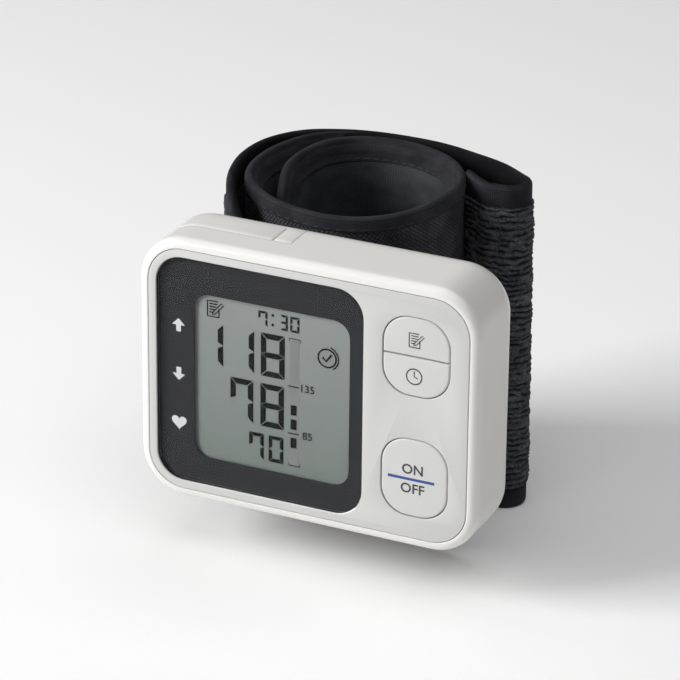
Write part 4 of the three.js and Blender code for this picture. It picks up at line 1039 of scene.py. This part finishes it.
FOLD_AXIS, FOLD_R = np.array([20.4, 38.4]), 3.8
FLAP_POINTS = FOLD_AXIS + np.array([[-0.3, -3.8], [-2.7, -4.2], [-6.0, -2.4], [-10.2, 1.0]])
turn = np.radians(np.linspace(62, -90, 60))
fold_line = FOLD_AXIS + FOLD_R * np.stack([np.cos(turn), np.sin(turn)], -1)
band_line = smooth_path([*BAND_POINTS, fold_line[0]])
strap_line = np.vstack([band_line, fold_line[1:], smooth_path(FLAP_POINTS)])
ring_line = smooth_path(RING_POINTS)
BAND_L, STRAP_L, RING_L = lengths(band_line)[-1], lengths(strap_line)[-1], lengths(ring_line)[-1]
print(f"band {BAND_L:.0f} mm, with fold and flap {STRAP_L:.0f} mm, ring {RING_L:.0f} mm")

# %% Cloth carried along a path
ring_low, ring_high = span("ring_cover")
CUFF_FOOT, CUFF_TOP = ring_low[2], ring_high[2]
CUFF_H = CUFF_TOP - CUFF_FOOT
LEAN = np.array([4.0, -8.0])
LEAN_RUN = 26.0
print(f"cuff height {CUFF_H:.1f} mm")


def eased(share):
    """Smooth step from 0 to 1."""
    share = np.clip(share, 0, 1)
    return share * share * (3 - 2 * share)


def laid_along(path, s, side, reach, height, leaning=True):
    """Place on the path, plus reach outwards, plus the fold's lean that grows towards the foot."""
    place, out = walk(path, s, side)
    flat = place[:, None, :] + reach[..., None] * out[:, None, :]
    if leaning:
        share = eased((s - (BAND_L - LEAN_RUN)) / LEAN_RUN)[:, None] * (CUFF_TOP - height) / CUFF_H
        flat = flat + share[..., None] * LEAN
    return np.stack([flat[..., 0], CASE_D + flat[..., 1], np.broadcast_to(height, reach.shape)], -1)


def cloth_at(s, level, loft):
    """Place on the cloth: length along it, level up it and loft off it."""
    return np.stack(np.broadcast_arrays(s[:, None], level, loft), -1)


# %% Stations and sections of a strip
EDGE_STEPS = 7


def end_stations(first, last, spacing, half, flat_first=False, flat_last=False):
    """Even lengths, and how full the section is at each: round ends close in, flat ends all at once."""
    near = half * (1 - np.cos(np.radians([0, 30, 60, 90])))
    low = np.array([first, first]) if flat_first else first + near
    high = np.array([last, last]) if flat_last else (last - near)[::-1]
    even = np.linspace(first + 2 * half, last - 2 * half, max(2, round((last - first) / spacing)))
    s = np.concatenate([low, even, high])
    inside = np.clip(np.minimum(s - first, last - s) / half, 0, 1)
    full = np.sqrt(1 - (1 - inside) ** 2)
    if flat_first:
        full[: 2 + len(even) // 2] = 1
        full[0] = 0
    if flat_last:
        full[len(low) + len(even) // 2 :] = 1
        full[-1] = 0
    return s, full


def strip_section(half, rows):
    """Closed section of a strip: up the outer face, over its edge, down the inner face, round the foot."""
    up = np.linspace(0, 1, rows)
    over = np.radians(np.linspace(0, 180, EDGE_STEPS))[1:-1]
    flat, curl = np.ones(rows), np.ones(EDGE_STEPS - 2)
    reach = np.concatenate([half * flat, half * np.cos(over), -half * flat, -half * np.cos(over), [half]])
    share = np.concatenate([up, curl, up[::-1], 0 * curl, [0]])
    swell = np.concatenate([0 * flat, half * np.sin(over), 0 * flat, -half * np.sin(over), [0]])
    return reach, share, swell


section_points = len(strip_section(1.0, 10)[0])
print("points of a section with 10 rows:", section_points)


# %% Smooth noise
LATTICE = 128


def lattice_noise(x, y, seed):
    """Smooth noise: random numbers on a unit lattice, eased between neighbours."""
    table = np.random.default_rng(seed).random((LATTICE, LATTICE))
    i, j = np.floor(x).astype(int), np.floor(y).astype(int)
    u, v = eased(x - i), eased(y - j)
    left, right, near, far = (k % LATTICE for k in (i, i + 1, j, j + 1))
    low = table[left, near] * (1 - u) + table[right, near] * u
    high = table[left, far] * (1 - u) + table[right, far] * u
    return low * (1 - v) + high * v


print("noise at a few places:", np.round(lattice_noise(np.arange(0, 2, 0.5), np.zeros(4), 3), 2))

# %% [markdown]
# ## The pile band
# The band is a loop-pile strap: looped rows on the outside for the hooks to catch, smooth on
# the inside. The loops are real relief on a fine grid: the face is full, less grooves between
# the rows that open only here and there. Behind the case the band is lower, so that it stays
# hidden there, as on the real one, and the loops lie flat against the case.

# %% Pile finish
def pile_rows():
    """Rows of loops: |sin| across the rows, broken up by noise; the tone also rises with real loops, as
    painted shade in the grooves, times random fluff.
    """
    group, given, out = new_group("pile_rows", {"Vector": None, "Pitch": 1.25}, ["Tone"])
    axes = split_axes(group, given["Vector"])
    rib = calc(group, "ABSOLUTE", wave(group, axes["Y"], given["Pitch"]))
    row = calc(group, "FLOOR", calc(group, "DIVIDE", axes["Y"], given["Pitch"]))
    shifted = calc(group, "MULTIPLY_ADD", row, 7.3, axes["X"])
    loop_at = add_node(group, "ShaderNodeCombineXYZ", {"X": shifted, "Y": row})
    height = calc(group, "MULTIPLY", rib, cloudy(group, loop_at.outputs[0], 1.5))
    raised = calc(group, "MAXIMUM", height, axes["Z"])
    fluff = cloudy(group, given["Vector"], 3.2, 3.0)
    group.links.new(calc(group, "MULTIPLY", raised, fluff), out["Tone"])
    return group


pile_cloth, pile_tree, pile_shader = new_finish(
    "pile_cloth", Roughness=0.95, Sheen_Weight=0.06, Sheen_Roughness=0.6, Specular_IOR_Level=0.1
)
pile_inputs = {"Vector": cloth_place(pile_tree)}
pile_tone = add_node(pile_tree, "ShaderNodeGroup", pile_inputs, node_tree=pile_rows()).outputs["Tone"]
# Painted shade: dark grooves between the rows and light loop tops, over random fluff
pile_tops = ranged(pile_tree, pile_tone, (0.1, 0.5))
pile_shade = blend_colours(pile_tree, pile_tops, (0.005, 0.005, 0.0065), (0.115, 0.12, 0.131))
dress(pile_tree, pile_shader, Base_Color=pile_shade)
raise_surface(pile_tree, pile_shader, pile_tone, 0.3)
print("finish:", pile_cloth.name)

# %% Loops
ROW = 1.25
LOOP = 0.9
BAND_HALF = 0.9
TAPE_DROP = 5.2
print(f"rows of loops every {ROW} mm, up to {LOOP} mm high")


def wavy(s, z):
    """Height measured along the rows, which wander up and down by slow and quick noise."""
    slow = lattice_noise(s / 4.5, z / 3.6 + 40, 3) - 0.5
    quick = lattice_noise(s / 1.3, z / 1.3 + 40, 4) - 0.5
    return z + slow + 0.5 * quick


def loop_pile(s, level):
    """Loop height 0 to 1: full, less |sin| grooves open only in dashes, times fuzz and slow clumps."""
    groove = np.round(level / ROW)
    deep = 1 - np.abs(np.sin(math.pi * level / ROW)) ** 0.6
    dashes = eased(2.0 * lattice_noise(s / 1.3 + 13.7 * groove, groove + 80.5, 8) - 0.3)
    fuzz = lattice_noise(s / 0.5 + 17.3 * groove, level / 0.42 + 60.5, 5)
    clumps = lattice_noise(s / 2.4, level / 2.2 + 40, 6)
    return (1 - deep * dashes) * (0.5 + 0.5 * fuzz) * (0.65 + 0.45 * clumps)


def pile_strip(name, s, full, rows, top, foot, fade):
    """Strip section carried along the strap; loops on its outer face, between the tapes, times a fade."""
    reach, share, swell = strip_section(BAND_HALF, rows)
    top, foot, fade = (np.broadcast_to(value, s.shape)[:, None] for value in (top, foot, fade))
    height = foot + BAND_HALF + share * (top - foot - 2 * BAND_HALF) + swell
    level = wavy(s[:, None], height)
    off_tapes = np.minimum(top - height, height - foot) > TAPE_DROP - 0.5
    outer_face = np.arange(len(reach)) < rows
    loops = off_tapes * outer_face * fade * loop_pile(s[:, None], level)
    grid = laid_along(strap_line, s, 1, (reach + LOOP * loops) * full[:, None], height)
    return make_surface(name, grid, pile_cloth, cloth=cloth_at(s, level, loops), sharp=85)


# %% Outer band
STRAP_FROM = BAND_L - 10.0
BEHIND_DROP, BEHIND_RISE, BEHIND_RUN = 5.5, 1.4, 5.0
END_ROUND, END_FROM = 14.0, 18.0
LOOPS_FROM, LOOPS_RUN = 64.0, 9.0
band_s, band_full = end_stations(0.0, STRAP_FROM, 0.62, BAND_HALF, flat_last=True)
band_x = np.where(band_s < BAND_L / 2, walk(band_line, band_s, 1)[0][:, 0], -40)
band_top = CUFF_TOP - BEHIND_DROP * eased((band_x + 30.5) / BEHIND_RUN)
corner = np.clip(band_x - END_FROM, 0, END_ROUND - 0.4)
round_end = END_ROUND - np.sqrt(END_ROUND**2 - corner**2)
band_foot = CUFF_FOOT + BEHIND_RISE * eased((band_x + 26) / BEHIND_RUN) + round_end
band_fade = eased((band_s - LOOPS_FROM) / LOOPS_RUN)
band = pile_strip("pile_band", band_s, band_full, 170, band_top, band_foot, band_fade)
report(band, "monitor", "outer_band", slot="cuff_cloth")

# %% [markdown]
# ## The folded strap end
# The strap's end is the cuff's liveliest piece: its loops stand out against the light, so its
# grid is finer still.

# %% Strap end with real loops
strap_s, strap_full = end_stations(STRAP_FROM, STRAP_L, 0.26, BAND_HALF, flat_first=True)
strap = pile_strip("strap_end", strap_s, strap_full, 340, CUFF_TOP, CUFF_FOOT, 1)


def bend_with_flap(piece, *solids):
    """Bakes the piece's place into its mesh and hides the solids it stands for."""
    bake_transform(piece)
    if solids:
        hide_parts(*solids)
    print(piece.name, "faces:", len(piece.data.polygons))


bend_with_flap(strap, "strap_fold", "strap_flap")

# %% [markdown]
# ## Binding tapes
# Raw cloth edges are bound: a tape is folded over the edge and stitched through. One section
# serves all of them: up the outer face, round over the edge, down the inner face, and back
# inside. The tapes stand a little proud, and their lower edges show as fine lines.

# %% Binding finish and section
TAPE_TONES = (0.05, 0.05, 0.06), (0.01, 0.01, 0.014)
TAPE_WEAVE = {"pitch": 0.32, "depth": 0.04, "Roughness": 0.8}
tape_cloth = woven("tape_cloth", *TAPE_TONES, **TAPE_WEAVE, Sheen_Weight=0.04, Specular_IOR_Level=0.15)
# Painted shade: the strap tape's inner face is kept at a fifth of its outer face's colour
strap_tape = woven(
    "strap_tape", *TAPE_TONES, **TAPE_WEAVE, inner=0.2, Sheen_Weight=0.01, Specular_IOR_Level=0.12
)
TAPE_THICK = 0.14
TAPE_LIP = 0.12


def tape_section(half, steps=9):
    """Folded tape about an edge at height 0: outer fold and, just under the cloth's face, the inner one."""
    over = np.radians(np.linspace(0, 180, steps))
    big, small, lip = half + TAPE_THICK, half - TAPE_LIP, TAPE_LIP - TAPE_DROP
    back = over[::-1]
    reach = np.concatenate(
        [[big - 0.1, big], big * np.cos(over), [-big, 0.1 - big, -small], small * np.cos(back), [small]]
    )
    rise = np.concatenate(
        [
            [-TAPE_DROP, lip],
            big * np.sin(over) - half,
            [lip, -TAPE_DROP, -TAPE_DROP],
            small * np.sin(back) - half,
            [-TAPE_DROP],
        ]
    )
    return np.append(reach, reach[0]), np.append(rise, rise[0])


def edge_tape(name, s, full, edge, upward):
    """The tape's section carried along an edge of the strap, upward +1 at the top and -1 at the foot."""
    reach, rise = tape_section(BAND_HALF)
    height = np.broadcast_to(edge, s.shape)[:, None] + upward * rise
    grid = laid_along(strap_line, s, 1, reach * full[:, None], height)
    # Here the loft is the tape's side, +1 outside to -1 inside, and it carries the painted shade
    cloth = cloth_at(s, height + 3 * reach, np.clip(reach / BAND_HALF, -1, 1))
    return make_surface(name, grid, strap_tape, cloth=cloth, sharp=60)


print(f"tapes reach {TAPE_DROP} mm down each face")

# %% Tapes on band and strap
for name, edge, upward in (("band_tape_top", band_top, 1), ("band_tape_foot", band_foot, -1)):
    report(edge_tape(name, band_s, band_full, edge, upward), "monitor", slot="cuff_cloth")
tape_s, tape_full = end_stations(STRAP_FROM, STRAP_L + 0.2, 0.6, BAND_HALF, flat_first=True)
for name, edge, upward in (("strap_tape_top", CUFF_TOP, 1), ("strap_tape_foot", CUFF_FOOT, -1)):
    bend_with_flap(edge_tape(name, tape_s, tape_full, edge, upward))

# %% Hook patch
HOOK_HALF, HOOK_ROWS, HOOK_PITCH = 0.3, 60, 0.9
hook_finish = woven(
    "hook_patch", (0.05, 0.05, 0.055), (0.004, 0.004, 0.005), pitch=HOOK_PITCH, depth=0.3, Roughness=0.6
)
HOOK_FROM, HOOK_TO, HOOK_REACH = STRAP_L - 8.6, STRAP_L - 1.0, -1.35
hook_s, hook_full = end_stations(HOOK_FROM, HOOK_TO, 0.3, HOOK_HALF)
reach, share, swell = strip_section(HOOK_HALF, HOOK_ROWS)
hook_low, hook_high = span("hook_patch")
hook_rise = hook_high[2] - hook_low[2] - 2 * HOOK_HALF
hook_height = hook_low[2] + HOOK_HALF + share * hook_rise + swell
inner_row = np.arange(len(reach)) - HOOK_ROWS - (EDGE_STEPS - 2)
hook_face = (inner_row > 1) & (inner_row < HOOK_ROWS - 2)
bumps = np.sin(math.pi * hook_s[:, None] / HOOK_PITCH) * np.sin(math.pi * hook_height / HOOK_PITCH)
hook_reach = (reach - hook_face * HOOK_HALF * bumps**2) * hook_full[:, None] + HOOK_REACH
hook_grid = laid_along(strap_line, hook_s, 1, hook_reach, np.broadcast_to(hook_height, hook_reach.shape))
hook_cloth = cloth_at(hook_s, hook_height, 0 * hook_reach)
hook = make_surface("hook_tape", hook_grid, hook_finish, cloth=hook_cloth, sharp=60)
hook.data.flip_normals()
report(hook, "flap", "hook_patch", slot="cuff_cloth")

# %% [markdown]
# ## The padded ring
# The ring holds the air bladder between an outer cover of twilled nylon and a paler ribbed
# lining against the wrist. Its edges are pinched to a thin rim near the outside, and from
# there the lining swells inwards over the bladder. Cover and lining are two halves of that
# section, carried along the spiral. Its outer end is tucked in flat under the band, and its
# inner end sinks out of sight.

# %% Ring cloths
ring_nylon = woven(
    "ring_nylon",
    (0.068, 0.068, 0.082),
    (0.003, 0.003, 0.0045),
    pitch=0.72,
    depth=0.1,
    slant=38,
    tops=(0.24, 0.5),
    Roughness=0.6,
    Sheen_Weight=0.03,
    Specular_IOR_Level=0.22,
)
ring_lining_cloth = woven(
    "ring_lining",
    (0.048, 0.054, 0.063),
    (0.015, 0.0167, 0.0205),
    pitch=0.62,
    depth=0.04,
    finer=1.7,
    Roughness=0.55,
    Sheen_Weight=0.03,
    Specular_IOR_Level=0.25,
)
print("finishes:", ring_nylon.name, ring_lining_cloth.name)

# %% The ring's section
RING_ROWS = 64
RING_END = 1.6
RING_INSET = 0.1
RIM_IN, RIM_OUT = 0.7, 2.3
COVER_SWELL, COVER_RUN = 0.25, 8
LINING_SWELL, LINING_RUN = 4.05, 7
TUCK_SHARE, TUCK_RUN, THIN_RUN = 0.12, 19, 9
SINK_DROP, SINK_RUN = 8.0, 19
RIM_MID = (RIM_IN + RIM_OUT) / 2
ring_s, ring_full = end_stations(0.0, RING_L, 1.0, RING_END)
print("ring stations:", len(ring_s))


def cover_reach(drop):
    """Outer face at a distance from the edge: the rim's, swelling a little away from it."""
    return RIM_OUT + COVER_SWELL * (1 - np.exp(-(drop - 1) / COVER_RUN))


def lining_reach(drop):
    """Inner face at a distance from the edge: the rim's, swelling inwards over the bladder."""
    return RIM_IN - LINING_SWELL * (1 - np.exp(-(drop - 1) / LINING_RUN))


def ring_flat(s):
    """How thick the ring is: thin where its start is tucked in, half at its end."""
    tucked = np.clip(TUCK_SHARE + (1 - TUCK_SHARE) * s / TUCK_RUN, 0, 1)
    return tucked * (1 - 0.5 * eased((s - RING_L + THIN_RUN) / THIN_RUN))


def ring_top(s):
    """The top edge, which sinks towards the inner end."""
    return CUFF_TOP - RING_INSET - SINK_DROP * eased((s - RING_L + SINK_RUN) / SINK_RUN)


def creases(s, drop, level, seed, deep):
    """Slow upright creases and soft dents, and short puckers beside the bound edges; none under the tapes."""
    fade = np.clip((drop - TAPE_DROP) / 8, 0, 1)
    upright = lattice_noise(s / 5.5, level / 34.0, seed) - 0.5
    dents = lattice_noise(s / 13.0, level / 11.0, seed + 1) - 0.5
    puckers = (lattice_noise(s / 1.9, level / 9.0, seed + 2) - 0.5) * np.exp(-(((drop - 9) / 1.7) ** 2))
    return deep * (fade * (0.8 * upright + dents) + 0.8 * puckers)


def ring_half(name, reach_at, outward, finish, seed, deep):
    """One cloth of the ring: its face up, the hidden plane behind it down, closed at both edges."""
    up = np.linspace(0, 1, RING_ROWS)
    up = up - 0.09 * np.sin(2 * math.pi * up)
    share = np.concatenate([up, up[::-1], [0]])[None, :]
    is_face = np.concatenate([np.ones(RING_ROWS), np.zeros(RING_ROWS), [1]])[None, :]
    top = ring_top(ring_s)[:, None]
    foot = CUFF_FOOT + RING_INSET
    height = foot + 1 + share * (top - foot - 2)
    drop = np.minimum(top - height, height - foot)
    face = reach_at(drop) + outward * creases(ring_s[:, None], drop, drop + 40 * (share > 0.5), seed, deep)
    reach = RIM_MID + (face - RIM_MID) * is_face
    reach = RIM_MID + (reach - RIM_MID) * (ring_full * ring_flat(ring_s))[:, None]
    grid = laid_along(ring_line, ring_s, -1, reach, height, False)
    cloth = cloth_at(ring_s, height, 0 * reach)
    return make_surface(name, grid, finish, cloth=cloth, sharp=60)


# %% Cover and lining
ring_cover = ring_half("ring_pad", cover_reach, 1, ring_nylon, 11, 0.5)
report(ring_cover, "monitor", "ring_cover", "ring_curler", slot="cuff_cloth")
ring_lining = ring_half("ring_lining_pad", lining_reach, -1, ring_lining_cloth, 23, 0.6)
report(ring_lining, "monitor", "ring_lining", "ring_bladder", slot="cuff_lining")


# %% Ring bindings
def rim_section(outer_drop, inner_drop, tape=0.26):
    """Tape about the rim, as reaches and drops: up outside, over, down inside, and back under the cloth."""
    over = np.radians(np.linspace(0, 180, 11))
    down_out, down_in = np.linspace(outer_drop, 1, 6)[:-1], np.linspace(1, inner_drop, 14)[1:]
    half, under = (RIM_OUT - RIM_IN) / 2, 0.15
    outside = cover_reach(down_out) + tape
    roll = 0.3 * np.sqrt(np.clip(1 - ((down_in - 1.3) / 1.7) ** 2, 0, 1))
    inside = lining_reach(down_in) - tape - roll
    big, small, back = half + tape, half - under, over[::-1]
    points = (
        ([outside[0] - 0.12], [outer_drop + 0.1]),
        (outside, down_out),
        (RIM_MID + big * np.cos(over), 1 - big * np.sin(over)),
        (inside, down_in),
        ([inside[-1] + 0.14], [inner_drop + 0.1]),
        (lining_reach(down_in[::-1]) + under, down_in[::-1]),
        (RIM_MID + small * np.cos(back), 1 - small * np.sin(back)),
        (cover_reach(down_out[::-1]) - under, down_out[::-1]),
    )
    reach, drop = (np.concatenate(values) for values in zip(*points))
    return np.append(reach, reach[0]), np.append(drop, drop[0])


rim_reach, rim_drop = rim_section(3.1, 4.6)
tape_s, tape_full = end_stations(-0.15, RING_L + 0.15, 1.0, RING_END)
thick = (tape_full * ring_flat(tape_s))[:, None]
ripple = 0.1 * (lattice_noise(tape_s / 2.6, 0 * tape_s + 9.5, 31) - 0.5)[:, None]
tape_reach = RIM_MID + (rim_reach - RIM_MID) * thick
for name, edge, upward in (
    ("ring_tape_top", ring_top(tape_s), 1),
    ("ring_tape_foot", np.full(len(tape_s), CUFF_FOOT + RING_INSET), -1),
):
    height = edge[:, None] - upward * rim_drop
    grid = laid_along(ring_line, tape_s, -1, tape_reach * (1 + ripple * (rim_drop > 2.5)), height, False)
    cloth = cloth_at(tape_s, height + 3 * tape_reach, 0 * height)
    report(make_surface(name, grid, tape_cloth, cloth=cloth, sharp=60), "monitor", slot="cuff_cloth")

# %% [markdown]
# ## Stitches
# A row of lockstitches runs just above each tape's lower edge. One stitch is a small spindle,
# a circle carried along a half-sine; all of them are placed in one broadcast along the path.

# %% Stitch rows
thread = moulded(
    "sewing_thread", (0.026, 0.026, 0.032), (0.016, 0.016, 0.02), rough=(0.6, 0.7), fineness=6000.0
)
STITCH_PITCH, STITCH_LONG, STITCH_THICK = 2.3, 1.6, 0.13
STITCH_DROP, STITCH_REACH = 4.6, 1.02
STITCH_RINGS, STITCH_POINTS = 6, 7
print(f"stitches {STITCH_LONG} mm long, every {STITCH_PITCH} mm")


def stitch_row(path, first, last, side, reach, height, leaning):
    """Spindles in a row: centre, plus along times a cosine, plus a circle times a sine."""
    s = np.arange(first, last, STITCH_PITCH)
    u, v = np.linspace(0, math.pi, STITCH_RINGS), np.linspace(0, 2 * math.pi, STITCH_POINTS)
    at = (s[:, None] - STITCH_LONG / 2 * np.cos(u)).ravel()
    level = np.full((at.size, 1), height)
    core, outer = (
        laid_along(path, at, side, np.full((at.size, 1), away), level, leaning)
        .reshape(len(s), STITCH_RINGS, 1, 3)
        for away in (reach, reach + 1)
    )
    swell = STITCH_THICK * np.sin(u)[None, :, None, None]
    round_up = swell * np.sin(v)[None, None, :, None] * np.array([0, 0, 1.0])
    round_out = swell * np.cos(v)[None, None, :, None] * (outer - core)
    points = core + round_up + round_out
    starts = STITCH_RINGS * STITCH_POINTS * np.arange(len(s))
    faces = grid_faces(STITCH_RINGS, STITCH_POINTS)[None] + starts[:, None, None]
    return points.reshape(-1, 3), faces.reshape(-1, 4).tolist()


def strap_stitches(first, last):
    """Four rows along the strap: at the top and the foot tape, outside and inside."""
    return [
        stitch_row(strap_line, first, last, 1, reach, height, True)
        for height in (CUFF_TOP - STITCH_DROP, CUFF_FOOT + STITCH_DROP)
        for reach in (STITCH_REACH, -STITCH_REACH)
    ]


# %% Stitches on ring, band and strap
ring_rows = [
    stitch_row(ring_line, 20, RING_L - 20, -1, reach, height, False)
    for drop, reach in ((2.7, cover_reach(2.7) + 0.24), (4.2, lining_reach(4.2) - 0.24))
    for height in (CUFF_TOP - RING_INSET - drop, CUFF_FOOT + RING_INSET + drop)
]
report(joined("ring_stitches", ring_rows, thread, sharp=80), "monitor", slot="cuff_cloth")
band_rows = strap_stitches(62, STRAP_FROM - 2)
report(joined("band_stitches", band_rows, thread, sharp=80), "monitor", slot="cuff_cloth")
strap_rows = strap_stitches(STRAP_FROM + 1, STRAP_L - 2)
bend_with_flap(joined("strap_stitches", strap_rows, thread, sharp=80))

# %% [markdown]
# ## What the case holds
# With the cover off one sees two cells in a dark tray, their spring contacts, and the edge of
# the board. The solids already have these shapes, so they keep them. A merged copy of each
# round one is shaded smooth, and every solid gets the finish of its material.

# %% Inner finishes
inner_plastic = moulded("inner_plastic", (0.075, 0.077, 0.083), (0.06, 0.062, 0.068), rough=(0.45, 0.6))
black_plastic = moulded("black_plastic", (0.014, 0.0145, 0.016), (0.009, 0.0095, 0.011), rough=(0.4, 0.55))
soft_rubber = moulded("soft_rubber", (0.27, 0.28, 0.3), (0.22, 0.23, 0.25), rough=(0.6, 0.75))


def brushed_steel():
    """Steel drawn through a die: noise stretched along Z moves tone and roughness."""
    material, tree, shader = new_finish("drawn_steel", Metallic=1.0)
    inputs = {"Vector": object_place(tree), "Scale": (2600, 2600, 260)}
    streaks = cloudy(tree, add_node(tree, "ShaderNodeMapping", inputs).outputs[0], 1.0, 3.0)
    tone = blend_colours(tree, streaks, (0.44, 0.45, 0.46), (0.62, 0.63, 0.64))
    dress(tree, shader, Base_Color=tone, Roughness=ranged(tree, streaks, target=(0.22, 0.42)))
    raise_surface(tree, shader, streaks, 0.01)
    return material


def solder_board():
    """Board lacquer: green, with paler tracks along the edges of a cell pattern."""
    material, tree, shader = new_finish("solder_board", Roughness=0.4)
    inputs = {"Vector": object_place(tree), "Scale": 260.0}
    cells = add_node(tree, "ShaderNodeTexVoronoi", inputs, feature="DISTANCE_TO_EDGE")
    track = ranged(tree, cells.outputs["Distance"], (0.05, 0.08), (1.0, 0.0))
    dress(tree, shader, Base_Color=blend_colours(tree, track, (0.012, 0.13, 0.045), (0.03, 0.22, 0.085)))
    raise_surface(tree, shader, track, 0.03)
    return material


def cell_sleeve():
    """Printed sleeve of a dry cell: graphite below, a warm band at one end, by height."""
    material, tree, shader = new_finish("cell_sleeve", Roughness=0.28, Metallic=0.6)
    place = object_place(tree)
    level = FACE[2] + MM * (MIDDLE_Z + 9)
    band = ranged(tree, split_axes(tree, place)["Z"], (level, level + 0.4 * MM))
    dress(tree, shader, Base_Color=blend_colours(tree, band, (0.05, 0.055, 0.065), (0.42, 0.26, 0.12)))
    raise_surface(tree, shader, cloudy(tree, place, 500.0), 0.01)
    return material


steel, board_lacquer, cell_print = brushed_steel(), solder_board(), cell_sleeve()
finish_of = {
    "white_plastic": white_case,
    "grey_panel": grey_panel,
    "dark_mask": mask_ink,
    "clear_lens": lens_finish,
    "lcd": lcd_finish,
    "inner_plastic": inner_plastic,
    "black_plastic": black_plastic,
    "board": board_lacquer,
    "steel": steel,
    "cell_wrap": cell_print,
    "rubber": soft_rubber,
    "cuff_cloth": pile_cloth,
    "cuff_lining": ring_lining_cloth,
}
print("finishes of the solids:", len(finish_of))

# %% Finishes on the solids
slot_of = {part["node"]: part["material_slot"] for part in frame["record"]["subparts"]}
for name, solid in nodes.items():
    solid.data.materials.clear()
    solid.data.materials.append(finish_of[slot_of[name]])
print("solids with a finish:", len(slot_of))


# %% Smooth copies of round solids
def smooth_copy(name, body):
    """A merged copy of a solid, shaded smooth between its small facets."""
    mesh = nodes[name].data.copy()
    shape = bmesh.new()
    shape.from_mesh(mesh)
    bmesh.ops.remove_doubles(shape, verts=shape.verts, dist=1e-6)
    shape.to_mesh(mesh)
    shape.free()
    if "custom_normal" in mesh.attributes:
        mesh.attributes.remove(mesh.attributes["custom_normal"])
    shade(mesh, 38)
    return report(new_object(name + "_smooth", mesh), body, name, slot=slot_of[name])


for name in (
    "battery_1", "battery_2", "battery_tray", "contact_spring_1", "contact_spring_2",
    "mount_plate", "air_nipple",
    "case_screw_1", "case_screw_2", "case_screw_3", "case_screw_4", "mount_screw_1", "mount_screw_2",
):
    smooth_copy(name, "monitor")

# %% [markdown]
# ## Stage, light and camera
# The photograph is a plain cut-out on white: a pale floor, broad soft light from above and
# the left, and a long lens from the upper right. The camera's place was worked out from the
# case's corners in the picture, as an azimuth, an elevation, a small roll and a distance.

# %% Floor
floor_finish = moulded(
    "pale_floor",
    (0.97, 0.97, 0.97),
    (0.95, 0.95, 0.95),
    rough=(0.8, 0.9),
    depth=0.01,
    Emission_Color=(1, 1, 1, 1),
    Emission_Strength=0.03,
)
FLOOR_REACH = 4000
FLOOR_Z = CUFF_FOOT - 0.02
ends = [-FLOOR_REACH, FLOOR_REACH]
floor_grid = np.stack(np.meshgrid(ends, ends, [FLOOR_Z], indexing="ij"), -1).reshape(2, 2, 3)
floor = make_surface("floor", floor_grid, floor_finish)
floor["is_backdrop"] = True
print("floor at", round(FLOOR_Z, 2), "mm")

# %% Light
world = bpy.data.worlds.new("studio")
bpy.context.scene.world = world
world.use_nodes = True
sky = world.node_tree.nodes["Background"]
sky.inputs["Color"].default_value = (1, 1, 1, 1)
sky.inputs["Strength"].default_value = 0.06
seen = add_node(world.node_tree, "ShaderNodeBackground", {"Color": (1, 1, 1, 1), "Strength": 1.0})
path_kind = add_node(world.node_tree, "ShaderNodeLightPath")
both = add_node(
    world.node_tree,
    "ShaderNodeMixShader",
    {0: path_kind.outputs["Is Camera Ray"], 1: sky.outputs[0], 2: seen.outputs[0]},
)
world.node_tree.links.new(both.outputs[0], world.node_tree.nodes["World Output"].inputs["Surface"])


def stand_at(thing, right, up_way, back, place):
    """Sets an object's place and its three axes."""
    matrix = np.eye(4)
    matrix[:3, :3] = np.stack([right, up_way, back], 1)
    matrix[:3, 3] = place
    thing.matrix_world = Matrix(matrix.tolist())


def soft_light(name, place, aim, size, power):
    """A square area light at a place in metres, turned towards its aim."""
    data = bpy.data.lights.new(name, "AREA")
    data.size = size
    data.energy = power
    lamp = new_object(name, data)
    way = np.array(aim, float) - place
    back = -way / np.linalg.norm(way)
    right = np.cross([0, 1, 0] if abs(back[2]) > 0.9 else [0, 0, 1], back)
    right /= np.linalg.norm(right)
    stand_at(lamp, right, np.cross(back, right), back, place)
    lamp.visible_camera = False


soft_light("key", np.array([-0.95, -0.72, 0.62]), (0, 0, 0.04), 0.7, 18.8)
soft_light("top", np.array([0.15, -0.05, 0.9]), (0, 0, 0.03), 1.1, 5.0)
print("lights:", [light.name for light in bpy.data.lights])

# %% Camera
azimuth, elevation, roll = np.radians([24.60, 24.59, 0.60])
FOCAL_PX, PICTURE_PX, SENSOR = 4051.4, 680, 36.0
SHIFT, DISTANCE = (-7.142, -11.670), 843.2
right = np.array([math.cos(azimuth), math.sin(azimuth), 0])
level_back = np.array([math.sin(azimuth), -math.cos(azimuth), 0])
back = math.cos(elevation) * level_back + [0, 0, math.sin(elevation)]
up_way = np.cross(back, right)
turned_right = math.cos(roll) * right + math.sin(roll) * up_way
turned_up = math.cos(roll) * up_way - math.sin(roll) * right
middle = np.array([0, 0, MIDDLE_Z])
eye = placed(middle - SHIFT[0] * turned_right - SHIFT[1] * turned_up + DISTANCE * back)
lens_data = bpy.data.cameras.new("camera")
lens_data.sensor_width = SENSOR
lens_data.lens = FOCAL_PX / PICTURE_PX * SENSOR
lens_data.clip_start, lens_data.clip_end = 0.05, 50
camera = new_object("camera", lens_data)
stand_at(camera, turned_right, turned_up, back, eye)
bpy.context.scene.camera = camera
bpy.context.scene.view_settings.view_transform = "Standard"
print("camera at", np.round(eye, 3), "lens", round(lens_data.lens, 1))

# %% Size and finish
low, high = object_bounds()
growth = np.round([np.subtract(cad_low, low) / MM, np.subtract(high, cad_high) / MM], 2)
print("grows past the solids, mm:", growth)
